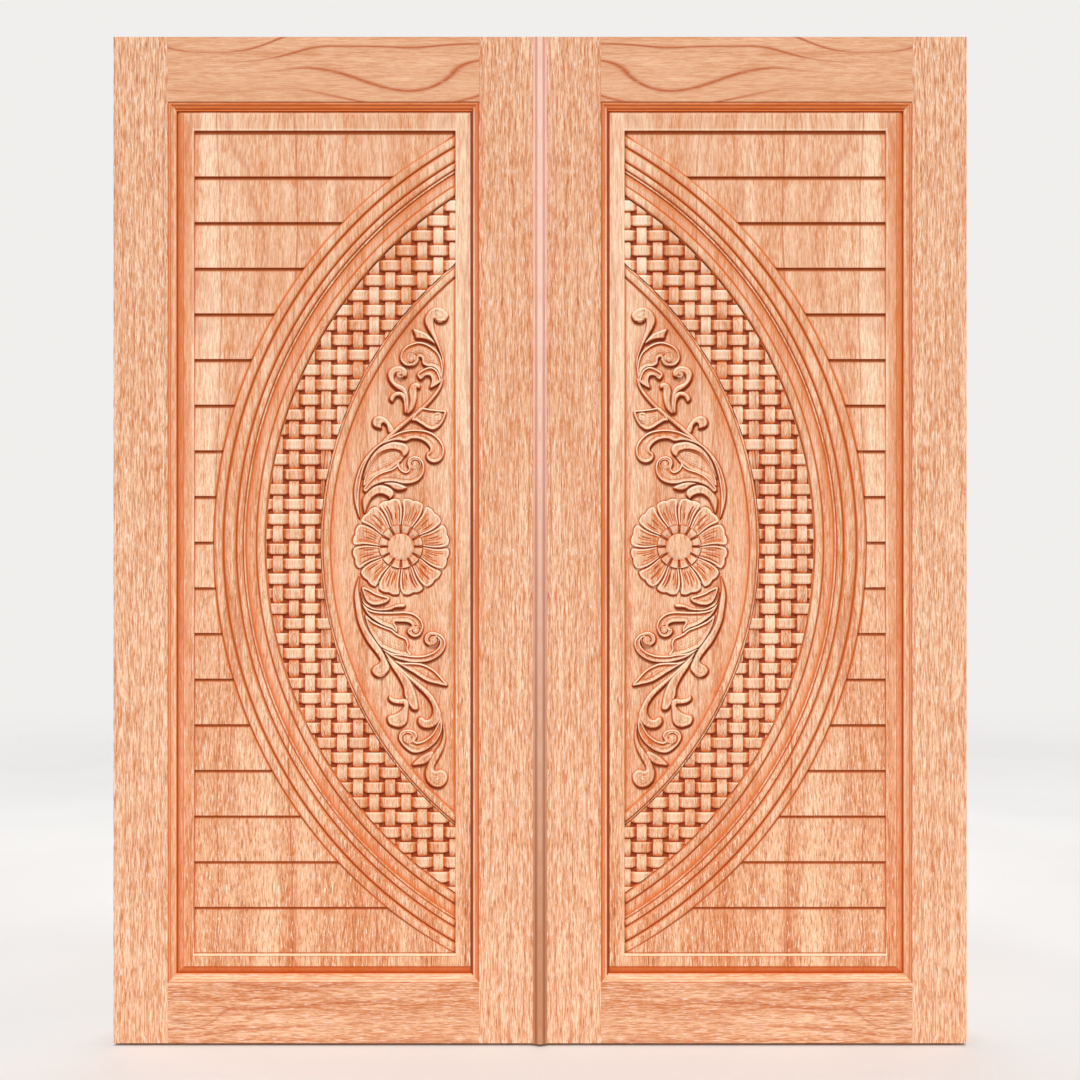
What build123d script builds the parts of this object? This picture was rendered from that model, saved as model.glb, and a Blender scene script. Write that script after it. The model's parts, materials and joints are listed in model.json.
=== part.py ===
from build123d import *
import math
import os

# Leaves, in millimetres. +X is right, -Y is the front, +Z is up.
PAIR_WIDTH = 1780.0
MEETING_GAP = 2.0
LEAF_HEIGHT = 2100.0
LEAF_THICKNESS = 40.0
FLOOR_GAP = 6.0
HINGE_STILE_WIDTH = 113.0
MEETING_STILE_WIDTH = 126.0
TOP_RAIL_HEIGHT = 135.0
BOTTOM_RAIL_HEIGHT = 126.0

# Joints of the leaf's frame.
GROOVE_SETBACK = 15.0
GROOVE_WIDTH = 12.0
GROOVE_DEPTH = 12.0
TENON_LENGTH = 70.0
TENON_SHOULDER = 25.0
JOINT_FIT = 0.1

# Mouldings round the panel opening.
MOULDING_WIDTH = 17.0
MOULDING_SINK = 1.5
MOULDING_DROP = 8.0
MOULDING_FILLET = 3.0
MOULDING_STEP = 0.8

# Panel: its tongue, its bevelled border and the carved field inside the border.
PANEL_FIT = 0.15
PANEL_PLAY = 2.0
BORDER_GAP = 1.0
BORDER_DEPTH = 8.0
BEVEL_HINGE_SIDE = 14.6
BEVEL_MEETING_SIDE = 2.0
BEVEL_TOP = 6.0
BEVEL_BOTTOM = 14.6
FIELD_INSET_HINGE_SIDE = 53.6
FIELD_INSET_MEETING_SIDE = 50.1
FIELD_INSET_TOP = 59.0
FIELD_INSET_BOTTOM = 60.0
FIELD_FLOOR = 17.5

# Lapped slats: each one is proud at its lower edge and sinks behind the slat above.
SLAT_COUNT = 18
SLAT_PROUD_DEPTH = 9.5
SLAT_SUNK_DEPTH = 15.5

# Fan of round bands about a centre beyond the leaf, from the outer bead inward.
FAN_RADIUS = 978.0
FAN_CROWN_GAP = 40.0
FAN_DROP = 6.0
OUTER_BEAD_WIDTH = 21.0
BROAD_BEAD_WIDTH = 27.5
NARROW_BEAD_WIDTH = 17.5
SUNK_BAND_WIDTH = 24.0
WEAVE_RIM_WIDTH = 21.0
WEAVE_WIDTH = 113.0
INNER_BEAD_WIDTH = 22.0
BEAD_DEPTH = 8.4
BEAD_EDGE_DEPTH = 9.2
BAND_DEPTH = 11.0
HALF_MOON_DEPTH = 14.5
SLAT_TUCK = 4.0

# Basket weave: upright and level strands with gaps between them.
STRAND_PITCH_ACROSS = 33.6
STRAND_PITCH_UP = 31.25
GAP_ACROSS = 13.6
GAP_UP = 11.0
WEAVE_START_ACROSS = 211.0
WEAVE_START_UP = 1030.0
GAP_RIM = 26.0

# Rosette and scroll leaves on the half moon.
ROSETTE_RADIUS = 99.0
ROSETTE_NOTCH = 6.0
ROSETTE_INSET = 113.6
ROSETTE_DEPTH = 10.0
PETAL_COUNT = 12
PETAL_GROOVE = 6.0
PETAL_GROOVE_DEPTH = 3.0
EYE_RING_RADIUS = 45.0
EYE_RING_DEPTH = 9.2
EYE_RADIUS = 27.0
EYE_DEPTH = 8.4
SCROLL_DEPTH = 10.0

# Half cover strip on each leaf's meeting edge.
COVER_WIDTH = 13.6
COVER_THICKNESS = 9.0
COVER_BEAD_WIDTH = 4.0
COVER_BEAD_THICKNESS = 5.0
COVER_QUIRK_WIDTH = 1.6
COVER_QUIRK_THICKNESS = 3.0

# Frame behind the leaves.
PARTING_GAP = 3.0
FRAME_DEPTH = 95.0
JAMB_WIDTH = 70.0
HEAD_HEIGHT = 70.0
FRAME_REVEAL = 10.0
JAMB_TENON_HEIGHT = 45.0
JAMB_TENON_THICKNESS = 30.0
JAMB_TENON_WIDTH = 46.0
ANCHOR_RADIUS = 5.5
ANCHOR_FOOT = 350.0
ANCHOR_SPACING = 1350.0

# Lift-off hinges in the parting gap: an eye on the leaf turns on a pin that stands on the frame's lug.
HINGE_HEIGHT = 110.0
HINGE_END_DISTANCE = 260.0
HINGE_OFFSET = 3.0
EYE_BARREL_RADIUS = 6.0
EYE_BARREL_SIDES = 8
LUG_HEIGHT = 12.0
LUG_GAP = 0.4
PIN_RADIUS = 3.0
PIN_CLEARANCE = 0.05
FLAP_REACH = 38.0
FLAP_THICKNESS = 2.5
NOTCH_CLEARANCE = 0.8

# Cuts run this far past a face.
OVERRUN = 5.0

# Bands of the fan that rise to a ridge. The others lie flat.
RIDGED_BANDS = ("outer_bead", "broad_bead", "narrow_bead", "weave_rim", "inner_bead")

# Shares of a petal's turn where the two corners of its end lie.
PETAL_CORNER_SHARES = (0.20, 0.80)

# Shares of the moulding's ogee: across its sloping width, and down its drop.
OGEE_ROUND_SHARES = (0.30, 0.20)
OGEE_MIDDLE_SHARES = (0.52, 0.48)
OGEE_HOLLOW_SHARES = (0.74, 0.78)

# Scroll stems as shares of the rosette's radius from its centre: across, up, and width.
SCROLL_SHARES = {
    "main_leaf": (
        (-0.79, 0.50, 0.08), (-0.90, 1.20, 0.18), (-0.68, 1.92, 0.18), (-0.13, 2.27, 0.15),
        (0.40, 2.34, 0.14), (0.74, 2.14, 0.14), (0.81, 1.90, 0.13), (0.67, 1.80, 0.10),
    ),
    "rising_stem": (
        (-0.30, 2.40, 0.05), (0.20, 2.82, 0.11), (0.66, 3.19, 0.12), (0.83, 3.69, 0.12),
        (0.69, 4.17, 0.12), (0.32, 4.29, 0.12), (0.05, 4.08, 0.11), (0.14, 3.86, 0.09),
    ),
    "top_curl": (
        (0.79, 4.14, 0.05), (0.60, 4.58, 0.11), (0.59, 4.88, 0.11), (0.76, 4.98, 0.10), (0.92, 4.86, 0.08),
    ),
    "upper_curl": (
        (-0.79, 1.16, 0.05), (-0.35, 1.44, 0.13), (0.20, 1.48, 0.16), (0.46, 1.66, 0.12), (0.33, 1.81, 0.08),
    ),
    "lower_leaf": (
        (-0.84, -0.55, 0.08), (-0.91, -1.20, 0.14), (-0.72, -1.86, 0.14), (-0.38, -2.36, 0.12),
        (-0.40, -2.58, 0.10),
    ),
    "falling_stem": (
        (-0.18, -2.38, 0.05), (0.24, -2.76, 0.14), (0.60, -3.15, 0.19), (0.71, -3.40, 0.20),
        (0.64, -3.62, 0.18),
    ),
    "lower_volute": (
        (0.84, -3.56, 0.05), (0.78, -4.04, 0.12), (0.48, -4.30, 0.13), (0.14, -4.24, 0.12), (0.03, -3.96, 0.10),
    ),
    "bottom_curl": (
        (0.78, -4.26, 0.05), (0.59, -4.62, 0.10), (0.60, -4.94, 0.11), (0.76, -5.04, 0.10), (0.92, -4.89, 0.08),
    ),
    "wide_curl": (
        (-0.20, -2.26, 0.05), (0.20, -2.43, 0.14), (0.64, -2.34, 0.15), (0.86, -2.06, 0.12), (0.72, -1.90, 0.08),
    ),
    "lower_curl": (
        (-0.76, -1.23, 0.05), (-0.35, -1.46, 0.13), (0.15, -1.48, 0.15), (0.42, -1.68, 0.12), (0.31, -1.84, 0.08),
    ),
}

# Places worked out from the sizes above.
depth_total = COVER_THICKNESS + LEAF_THICKNESS + PARTING_GAP + FRAME_DEPTH
leaf_front = COVER_THICKNESS - depth_total / 2
leaf_back = leaf_front + LEAF_THICKNESS
frame_front = leaf_back + PARTING_GAP
frame_back = frame_front + FRAME_DEPTH
leaf_outer = -PAIR_WIDTH / 2
leaf_inner = -MEETING_GAP / 2
leaf_foot = FLOOR_GAP
leaf_top = leaf_foot + LEAF_HEIGHT
open_left = leaf_outer + HINGE_STILE_WIDTH
open_right = leaf_inner - MEETING_STILE_WIDTH
open_foot = leaf_foot + BOTTOM_RAIL_HEIGHT
open_top = leaf_top - TOP_RAIL_HEIGHT
field_left = open_left + FIELD_INSET_HINGE_SIDE
field_right = open_right - FIELD_INSET_MEETING_SIDE
field_foot = open_foot + FIELD_INSET_BOTTOM
field_top = open_top - FIELD_INSET_TOP
fan_x = field_left + FAN_CROWN_GAP + FAN_RADIUS
fan_z = (field_foot + field_top) / 2 - FAN_DROP
rosette_x = field_right - ROSETTE_INSET
frame_outer = leaf_outer - FRAME_REVEAL
frame_top = leaf_top + FRAME_REVEAL
head_foot = frame_top - HEAD_HEIGHT
hinge_x = leaf_outer - HINGE_OFFSET
hinge_y = leaf_back + PARTING_GAP / 2
notch_reach = EYE_BARREL_RADIUS + NOTCH_CLEARANCE
hinge_heights = {
    "lower": leaf_foot + HINGE_END_DISTANCE,
    "middle": leaf_foot + LEAF_HEIGHT / 2,
    "upper": leaf_top - HINGE_END_DISTANCE,
}


def block(x_span, y_span, z_span):
    """A box between two faces along each axis."""
    spans = (x_span, y_span, z_span)
    centre = [(low + high) / 2 for low, high in spans]
    return Pos(*centre) * Box(*[high - low for low, high in spans])


def carved(sketch, low_depth, high_depth):
    """A flat outline raised towards the front, between two depths behind the leaf's face."""
    plane = Plane.XZ.offset(-(leaf_front + low_depth))
    return extrude(plane * sketch, low_depth - high_depth)


def leaf_depth(front, back):
    """The two Y places that lie this far behind the leaf's front face."""
    return (leaf_front + front, leaf_front + back)


def groove_depths(fit):
    """The groove's two Y places, drawn in by a fit on each side."""
    return leaf_depth(GROOVE_SETBACK + fit, GROOVE_SETBACK + GROOVE_WIDTH - fit)


def tenon_heights(fit):
    """The heights of the lower and the upper tenon."""
    return (
        (leaf_foot + TENON_SHOULDER + fit, open_foot - TENON_SHOULDER - fit),
        (open_top + TENON_SHOULDER + fit, leaf_top - TENON_SHOULDER - fit),
    )


def stile(x_span, edge, towards):
    """An upright of the leaf's frame, grooved and mortised along the edge that meets the panel."""
    body = block(x_span, leaf_depth(0, LEAF_THICKNESS), (leaf_foot, leaf_top))
    groove_x = sorted((edge, edge + towards * GROOVE_DEPTH))
    body -= block(groove_x, groove_depths(0), (open_foot - GROOVE_DEPTH, open_top + GROOVE_DEPTH))
    mortise_x = sorted((edge, edge + towards * TENON_LENGTH))
    for heights in tenon_heights(0):
        body -= block(mortise_x, groove_depths(0), heights)
    return body


def rail(z_span, edge, towards, tenon_z):
    """A cross piece of the leaf's frame, with a tenon at each end and a groove for the panel."""
    body = block((open_left, open_right), leaf_depth(0, LEAF_THICKNESS), z_span)
    groove_z = sorted((edge, edge + towards * GROOVE_DEPTH))
    body -= block((open_left, open_right), groove_depths(0), groove_z)
    reach = TENON_LENGTH - JOINT_FIT
    body += block((open_left - reach, open_right + reach), groove_depths(JOINT_FIT), tenon_z)
    return body


def moulding(length):
    """A mitred length of ogee moulding: its face slopes along +X and its length runs along +Z."""
    slope_width = MOULDING_WIDTH - 2 * MOULDING_FILLET
    slope_drop = MOULDING_DROP - 2 * MOULDING_STEP
    slope_top = MOULDING_SINK + MOULDING_STEP

    def on_slope(shares):
        return (MOULDING_FILLET + shares[0] * slope_width, slope_top + shares[1] * slope_drop)

    low_fillet = MOULDING_SINK + MOULDING_DROP
    slope_end = MOULDING_WIDTH - MOULDING_FILLET
    upper = ThreePointArc(
        (MOULDING_FILLET, slope_top), on_slope(OGEE_ROUND_SHARES), on_slope(OGEE_MIDDLE_SHARES)
    )
    lower = ThreePointArc(
        on_slope(OGEE_MIDDLE_SHARES),
        on_slope(OGEE_HOLLOW_SHARES),
        (slope_end, slope_top + slope_drop),
    )
    rest = Polyline(
        (slope_end, slope_top + slope_drop),
        (slope_end, low_fillet),
        (MOULDING_WIDTH, low_fillet),
        (MOULDING_WIDTH, GROOVE_SETBACK),
        (0, GROOVE_SETBACK),
        (0, MOULDING_SINK),
        (MOULDING_FILLET, MOULDING_SINK),
        (MOULDING_FILLET, slope_top),
    )
    bar = extrude(make_face(upper + lower + rest), length)
    mitre = Polyline(
        (0, 0),
        (0, length),
        (MOULDING_WIDTH, length - MOULDING_WIDTH),
        (MOULDING_WIDTH, MOULDING_WIDTH),
        close=True,
    )
    return bar & extrude(Plane.XZ * make_face(mitre), GROOVE_SETBACK, both=True)


def mouldings():
    """The four mouldings that line the panel opening, each seated against its stile or rail."""
    upright = moulding(open_top - open_foot)
    level = moulding(open_right - open_left)
    return {
        "hinge_side_moulding": Pos(open_left, leaf_front, open_foot) * upright,
        "meeting_side_moulding": Pos(open_right, leaf_front, open_foot) * mirror(upright, Plane.YZ),
        "bottom_moulding": Pos(open_right, leaf_front, open_foot) * Rot(0, -90, 0) * level,
        "top_moulding": Pos(open_left, leaf_front, open_top) * Rot(0, 90, 0) * level,
    }


def panel_blank():
    """The panel before carving: a tongued board with a bevelled raised border."""
    reach = GROOVE_DEPTH - PANEL_PLAY
    board = block(
        (open_left - reach, open_right + reach),
        groove_depths(PANEL_FIT),
        (open_foot - reach, open_top + reach),
    )
    edge = MOULDING_WIDTH + BORDER_GAP
    left, right = open_left + edge, open_right - edge
    foot, top = open_foot + edge, open_top - edge
    raised = block((left, right), leaf_depth(BORDER_DEPTH, GROOVE_SETBACK + GROOVE_WIDTH / 2), (foot, top))
    surface = groove_depths(PANEL_FIT)[0]
    rise = surface - leaf_front - BORDER_DEPTH
    bevels = (
        ((left, surface, 0), (-rise, -BEVEL_HINGE_SIDE, 0)),
        ((right, surface, 0), (rise, -BEVEL_MEETING_SIDE, 0)),
        ((0, surface, foot), (0, -BEVEL_BOTTOM, -rise)),
        ((0, surface, top), (0, -BEVEL_TOP, rise)),
    )
    for low_edge, outward in bevels:
        raised = split(raised, Plane(low_edge, z_dir=outward), Keep.BOTTOM)
    return board + raised


def slats():
    """Lapped slats over the whole field, open where the fan covers them."""
    pitch = (field_top - field_foot) / SLAT_COUNT
    back = leaf_front + FIELD_FLOOR + OVERRUN
    points = [(back, field_foot - pitch)]
    for row in range(-1, SLAT_COUNT + 1):
        foot = field_foot + row * pitch
        points += [(leaf_front + SLAT_PROUD_DEPTH, foot), (leaf_front + SLAT_SUNK_DEPTH, foot + pitch)]
    points.append((back, field_top + pitch))
    outline = make_face(Polyline(*points, close=True))
    plane = Plane((field_left - OVERRUN, 0, 0), x_dir=(0, 1, 0), z_dir=(1, 0, 0))
    rows = extrude(plane * outline, field_right - field_left + 2 * OVERRUN)
    core = Cylinder(FAN_RADIUS - SLAT_TUCK, 2 * depth_total)
    return rows - Pos(fan_x, 0, fan_z) * Rot(90, 0, 0) * core


fan_bands = {
    "outer_bead": OUTER_BEAD_WIDTH,
    "broad_bead": BROAD_BEAD_WIDTH,
    "narrow_bead": NARROW_BEAD_WIDTH,
    "sunk_band": SUNK_BAND_WIDTH,
    "weave_rim": WEAVE_RIM_WIDTH,
    "weave": WEAVE_WIDTH,
    "inner_bead": INNER_BEAD_WIDTH,
}


def band_radius(name):
    """The outer radius of one of the fan's bands."""
    radius = FAN_RADIUS
    for band, width in fan_bands.items():
        if band == name:
            return radius
        radius -= width
    return radius


def fan():
    """The fan's bands and half moon, turned about the fan's centre."""
    floor = FIELD_FLOOR + OVERRUN
    points = [(FAN_RADIUS, floor), (FAN_RADIUS, BEAD_EDGE_DEPTH)]
    for name, width in fan_bands.items():
        outer = band_radius(name)
        if name in RIDGED_BANDS:
            points.append((outer - width / 2, BEAD_DEPTH))
        points.append((outer - width, BAND_DEPTH))
    half_moon = band_radius("half_moon")
    points += [(half_moon, HALF_MOON_DEPTH), (0, HALF_MOON_DEPTH), (0, floor)]
    places = [(fan_x + radius, leaf_front + depth, fan_z) for radius, depth in points]
    return revolve(make_face(Polyline(*places, close=True)), Axis((fan_x, 0, fan_z), (0, 1, 0)))


def weave_gaps():
    """The pockets between the weave's strands that lie wholly inside its band."""
    outer = band_radius("weave") - GAP_RIM
    inner = band_radius("inner_bead") + GAP_RIM
    first_x = field_left + WEAVE_START_ACROSS - STRAND_PITCH_ACROSS / 2
    first_z = field_foot + WEAVE_START_UP - STRAND_PITCH_UP / 2
    columns = range(-math.ceil(WEAVE_START_ACROSS / STRAND_PITCH_ACROSS), SLAT_COUNT)
    rows = range(-math.ceil(WEAVE_START_UP / STRAND_PITCH_UP), 2 * SLAT_COUNT)
    places = []
    for column in columns:
        for row in rows:
            x = first_x + column * STRAND_PITCH_ACROSS
            z = first_z + row * STRAND_PITCH_UP
            corners = [
                math.hypot(x + i * GAP_ACROSS / 2 - fan_x, z + j * GAP_UP / 2 - fan_z)
                for i in (-1, 1)
                for j in (-1, 1)
            ]
            clear_of_border = x + GAP_ACROSS / 2 + GAP_RIM < field_right
            if clear_of_border and min(corners) > inner and max(corners) < outer:
                places.append((x, z))
    gaps = Sketch() + Locations(*places) * Rectangle(GAP_ACROSS, GAP_UP)
    return carved(gaps, FIELD_FLOOR, 0)


def rosette():
    """A flower of square-ended petals, parted by grooves, round a ringed eye."""
    def around(radius, turn):
        angle = turn * 2 * math.pi / PETAL_COUNT
        return (rosette_x + radius * math.sin(angle), fan_z + radius * math.cos(angle))

    rim = []
    for petal in range(PETAL_COUNT):
        rim.append(around(ROSETTE_RADIUS - ROSETTE_NOTCH, petal))
        rim += [around(ROSETTE_RADIUS, petal + share) for share in PETAL_CORNER_SHARES]
    flower = carved(make_face(Polyline(*rim, close=True)), FIELD_FLOOR, ROSETTE_DEPTH)
    half_turn = PETAL_GROOVE / ROSETTE_RADIUS * PETAL_COUNT / (2 * math.pi) / 2
    for petal in range(PETAL_COUNT):
        groove = Polyline(
            around(EYE_RING_RADIUS, petal),
            around(ROSETTE_RADIUS, petal - half_turn),
            around(ROSETTE_RADIUS, petal + half_turn),
            close=True,
        )
        flower -= carved(make_face(groove), ROSETTE_DEPTH + PETAL_GROOVE_DEPTH, 0)
    centre = Pos(rosette_x, fan_z)
    flower += carved(centre * RegularPolygon(EYE_RING_RADIUS, PETAL_COUNT), FIELD_FLOOR, EYE_RING_DEPTH)
    flower += carved(centre * RegularPolygon(EYE_RADIUS, PETAL_COUNT), FIELD_FLOOR, EYE_DEPTH)
    return flower


def scroll(shares):
    """One scroll stem, cut in flats: it swells and tapers by the width at each point of its line."""
    line = [(rosette_x + a * ROSETTE_RADIUS, fan_z + b * ROSETTE_RADIUS) for a, b, _ in shares]
    sides = ([], [])
    for index, (x, z) in enumerate(line):
        before = line[max(index - 1, 0)]
        after = line[min(index + 1, len(line) - 1)]
        run = math.hypot(after[0] - before[0], after[1] - before[1])
        half = shares[index][2] * ROSETTE_RADIUS / 2
        aside = (-(after[1] - before[1]) / run * half, (after[0] - before[0]) / run * half)
        sides[0].append((x + aside[0], z + aside[1]))
        sides[1].append((x - aside[0], z - aside[1]))
    outline = Polyline(*sides[0], *reversed(sides[1]), close=True)
    return carved(make_face(outline), FIELD_FLOOR, SCROLL_DEPTH)


def carved_panel():
    """The panel with its field carved: slats, fan, weave, rosette and scrolls."""
    air = carved(
        Pos((field_left + field_right) / 2, (field_foot + field_top) / 2)
        * Rectangle(field_right - field_left, field_top - field_foot),
        FIELD_FLOOR,
        0,
    )
    air -= slats()
    air -= fan()
    air -= rosette()
    for shares in SCROLL_SHARES.values():
        air -= scroll(shares)
    return panel_blank() - air - weave_gaps()


def cover_strip():
    """Half of the strip that covers the meeting line: a bead, a quirk and half of a round."""
    edge = leaf_inner
    outer = edge - COVER_WIDTH
    bead_end = outer + COVER_BEAD_WIDTH
    quirk_end = bead_end + COVER_QUIRK_WIDTH
    proud = leaf_front - COVER_THICKNESS
    quirk_y = leaf_front - COVER_QUIRK_THICKNESS
    bead_y = leaf_front - COVER_BEAD_THICKNESS
    crown = ThreePointArc(
        (quirk_end, quirk_y),
        ((quirk_end + edge) / 2 - COVER_QUIRK_WIDTH, (quirk_y + proud) / 2 - COVER_QUIRK_WIDTH / 2),
        (edge, proud),
    )
    rest = Polyline(
        (edge, proud),
        (edge, leaf_front),
        (outer, leaf_front),
        (outer, quirk_y),
        ((outer + bead_end) / 2, bead_y),
        (bead_end, quirk_y),
        (quirk_end, quirk_y),
    )
    return extrude(Plane.XY.offset(leaf_foot) * make_face(crown + rest), LEAF_HEIGHT)


def flap_span(fit):
    """Where a hinge flap's plate lies across the door, widened by a fit at its far edge."""
    return (hinge_x + notch_reach, hinge_x + FLAP_REACH + fit)


def hinge_spans(z, margin):
    """The height that a hinge takes up, with a margin at each end."""
    return (z - HINGE_HEIGHT / 2 - margin, z + HINGE_HEIGHT / 2 + margin)


def hinge_bed(y_face, towards, x_edge):
    """What is cut away for the hinges: a bed for each flap and a notch for each barrel."""
    cuts = []
    for z in hinge_heights.values():
        bed_y = sorted((y_face, y_face + towards * FLAP_THICKNESS))
        notch_y = sorted((y_face, hinge_y + towards * notch_reach))
        cuts.append(block(flap_span(JOINT_FIT), bed_y, hinge_spans(z, JOINT_FIT)))
        notch_x = (x_edge - OVERRUN, hinge_x + notch_reach)
        cuts.append(block(notch_x, notch_y, hinge_spans(z, NOTCH_CLEARANCE)))
    return cuts


def flap_plate(z, y_face, towards):
    """The flat plate of a hinge half, flush with the face that it is let into."""
    plate_y = sorted((y_face, y_face + towards * FLAP_THICKNESS))
    return block(flap_span(0), plate_y, hinge_spans(z, 0)), plate_y


def hinge_eye(z):
    """The leaf's half of a hinge: a plate with a barrel that turns on the frame's pin."""
    plate, plate_y = flap_plate(z, leaf_back, -1)
    foot, top = hinge_spans(z, 0)
    foot += LUG_HEIGHT + LUG_GAP
    plate += block((hinge_x, hinge_x + notch_reach), plate_y, (foot, top))
    section = RegularPolygon(EYE_BARREL_RADIUS, EYE_BARREL_SIDES)
    barrel = Plane((hinge_x, hinge_y, foot)) * section
    plate += extrude(barrel, top - foot)
    return plate - Pos(hinge_x, hinge_y, z) * Cylinder(PIN_RADIUS, HINGE_HEIGHT + OVERRUN)


def hinge_pintle(z):
    """The frame's half of a hinge: a plate with a lug, and the pin that stands on the lug."""
    plate, plate_y = flap_plate(z, frame_front, 1)
    foot, top = hinge_spans(z, 0)
    pin_foot = foot + LUG_HEIGHT
    plate += block((hinge_x, hinge_x + notch_reach), plate_y, (foot, pin_foot))
    lug_x = (hinge_x - PIN_RADIUS, hinge_x + PIN_RADIUS)
    plate += block(lug_x, (hinge_y - PIN_RADIUS, plate_y[1]), (foot, pin_foot))
    pin = Cylinder(PIN_RADIUS - PIN_CLEARANCE, top - pin_foot)
    return plate + Pos(hinge_x, hinge_y, (pin_foot + top) / 2) * pin


def jamb():
    """An upright of the frame, with a tenon for the head, hinge beds and anchor holes."""
    inner = frame_outer + JAMB_WIDTH
    body = block((frame_outer, inner), (frame_front, frame_back), (0, head_foot))
    middle_x = (frame_outer + inner) / 2
    middle_y = (frame_front + frame_back) / 2
    body += jamb_tenon(middle_x, middle_y, JOINT_FIT)
    for cut in hinge_bed(frame_front, 1, frame_outer):
        body -= cut
    for z in (ANCHOR_FOOT, ANCHOR_FOOT + ANCHOR_SPACING):
        hole = Cylinder(ANCHOR_RADIUS, JAMB_WIDTH + OVERRUN)
        body -= Pos(middle_x, middle_y, z) * Rot(0, 90, 0) * hole
    return body


def jamb_tenon(x, y, fit):
    """The tenon on top of a jamb, or with no fit the mortise that it stands in."""
    half_x = JAMB_TENON_WIDTH / 2 - fit
    half_y = JAMB_TENON_THICKNESS / 2 - fit
    height = (head_foot, head_foot + JAMB_TENON_HEIGHT - fit)
    return block((x - half_x, x + half_x), (y - half_y, y + half_y), height)


def head():
    """The frame's head, mortised over both jambs."""
    body = block((frame_outer, -frame_outer), (frame_front, frame_back), (head_foot, frame_top))
    middle_y = (frame_front + frame_back) / 2
    for side in (-1, 1):
        body -= jamb_tenon(-side * (frame_outer + JAMB_WIDTH / 2), middle_y, 0)
    return body


def leaf_pieces():
    """All the pieces of the left leaf."""
    lower_tenon, upper_tenon = tenon_heights(JOINT_FIT)
    hinge_stile = stile((leaf_outer, open_left), open_left, -1)
    for cut in hinge_bed(leaf_back, -1, leaf_outer):
        hinge_stile -= cut
    pieces = {
        "hinge_stile": hinge_stile,
        "meeting_stile": stile((open_right, leaf_inner), open_right, 1),
        "top_rail": rail((open_top, leaf_top), open_top, 1, upper_tenon),
        "bottom_rail": rail((leaf_foot, open_foot), open_foot, -1, lower_tenon),
        "carved_panel": carved_panel(),
        "cover_strip": cover_strip(),
    }
    pieces.update(mouldings())
    for place, z in hinge_heights.items():
        pieces[f"hinge_eye_{place}"] = hinge_eye(z)
    return pieces


def frame_side_pieces():
    """The left jamb with its halves of the hinges."""
    pieces = {"jamb": jamb()}
    for place, z in hinge_heights.items():
        pieces[f"hinge_pintle_{place}"] = hinge_pintle(z)
    return pieces


def main():
    """Builds the left side, mirrors it for the right, and writes every piece."""
    os.makedirs("parts", exist_ok=True)
    export_step(head(), "parts/frame_head.step")
    for name, piece in {**leaf_pieces(), **frame_side_pieces()}.items():
        export_step(piece, f"parts/left_{name}.step")
        export_step(mirror(piece, Plane.YZ), f"parts/right_{name}.step")


main()
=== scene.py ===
"""Looks of a carved teak double door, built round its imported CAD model."""

from __future__ import annotations

import json
import logging
import math
from dataclasses import dataclass, field
from enum import Enum
from typing import Iterable, Sequence, Union

import bpy
import numpy as np
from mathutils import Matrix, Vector, geometry

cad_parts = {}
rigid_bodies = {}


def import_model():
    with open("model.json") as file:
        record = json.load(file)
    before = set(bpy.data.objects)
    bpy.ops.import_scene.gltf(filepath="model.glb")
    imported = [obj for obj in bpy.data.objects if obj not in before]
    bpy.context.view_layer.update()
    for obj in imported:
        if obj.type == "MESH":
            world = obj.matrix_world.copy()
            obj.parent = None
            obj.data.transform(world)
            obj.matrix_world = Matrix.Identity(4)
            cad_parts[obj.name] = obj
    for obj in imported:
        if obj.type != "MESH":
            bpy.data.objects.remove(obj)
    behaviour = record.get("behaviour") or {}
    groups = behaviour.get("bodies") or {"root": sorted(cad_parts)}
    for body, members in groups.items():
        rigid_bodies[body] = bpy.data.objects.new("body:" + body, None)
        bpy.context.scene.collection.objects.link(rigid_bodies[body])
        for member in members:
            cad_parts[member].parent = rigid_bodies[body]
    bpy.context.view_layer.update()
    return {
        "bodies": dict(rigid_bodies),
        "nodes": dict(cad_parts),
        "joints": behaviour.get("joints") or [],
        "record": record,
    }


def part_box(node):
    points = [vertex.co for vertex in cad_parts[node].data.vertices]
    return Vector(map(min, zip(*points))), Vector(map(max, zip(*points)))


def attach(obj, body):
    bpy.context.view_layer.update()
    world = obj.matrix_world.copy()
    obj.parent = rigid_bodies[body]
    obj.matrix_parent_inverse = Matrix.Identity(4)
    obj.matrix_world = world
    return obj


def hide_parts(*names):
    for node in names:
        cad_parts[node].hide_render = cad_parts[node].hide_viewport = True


LOG = logging.getLogger("carved_door")
MM = 0.001
Point = tuple[float, float]
Triple = tuple[float, float, float]
Four = tuple[float, float, float, float]
Colour = tuple[float, float, float, float]
# The way that the light falls on the left leaf's carving, as shares to the right and upwards
LIGHT_WAY: Point = (0.5, 0.866)


class Side(Enum):
    """The two leaves. The left one is drawn, and the right one mirrors it."""

    LEFT = "left"
    RIGHT = "right"

    @property
    def flip(self) -> float:
        """Factor on X that turns the left leaf's drawing into this leaf."""
        return 1.0 if self is Side.LEFT else -1.0

    @property
    def body(self) -> str:
        """Name of the body that this leaf's pieces ride on."""
        return f"{self.value}_leaf"


class Grain(Enum):
    """The way that a board's grain runs."""

    UPRIGHT = "upright"
    LEVEL = "level"


def srgb(red: int, green: int, blue: int) -> Colour:
    """Turns a display colour into a linear one.

    Args:
        red: Red from 0 to 255.
        green: Green from 0 to 255.
        blue: Blue from 0 to 255.

    Returns:
        The linear colour with full alpha.
    """
    shares = [channel / 255.0 for channel in (red, green, blue)]
    linear = [c / 12.92 if c <= 0.04045 else ((c + 0.055) / 1.055) ** 2.4 for c in shares]
    return (linear[0], linear[1], linear[2], 1.0)


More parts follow.
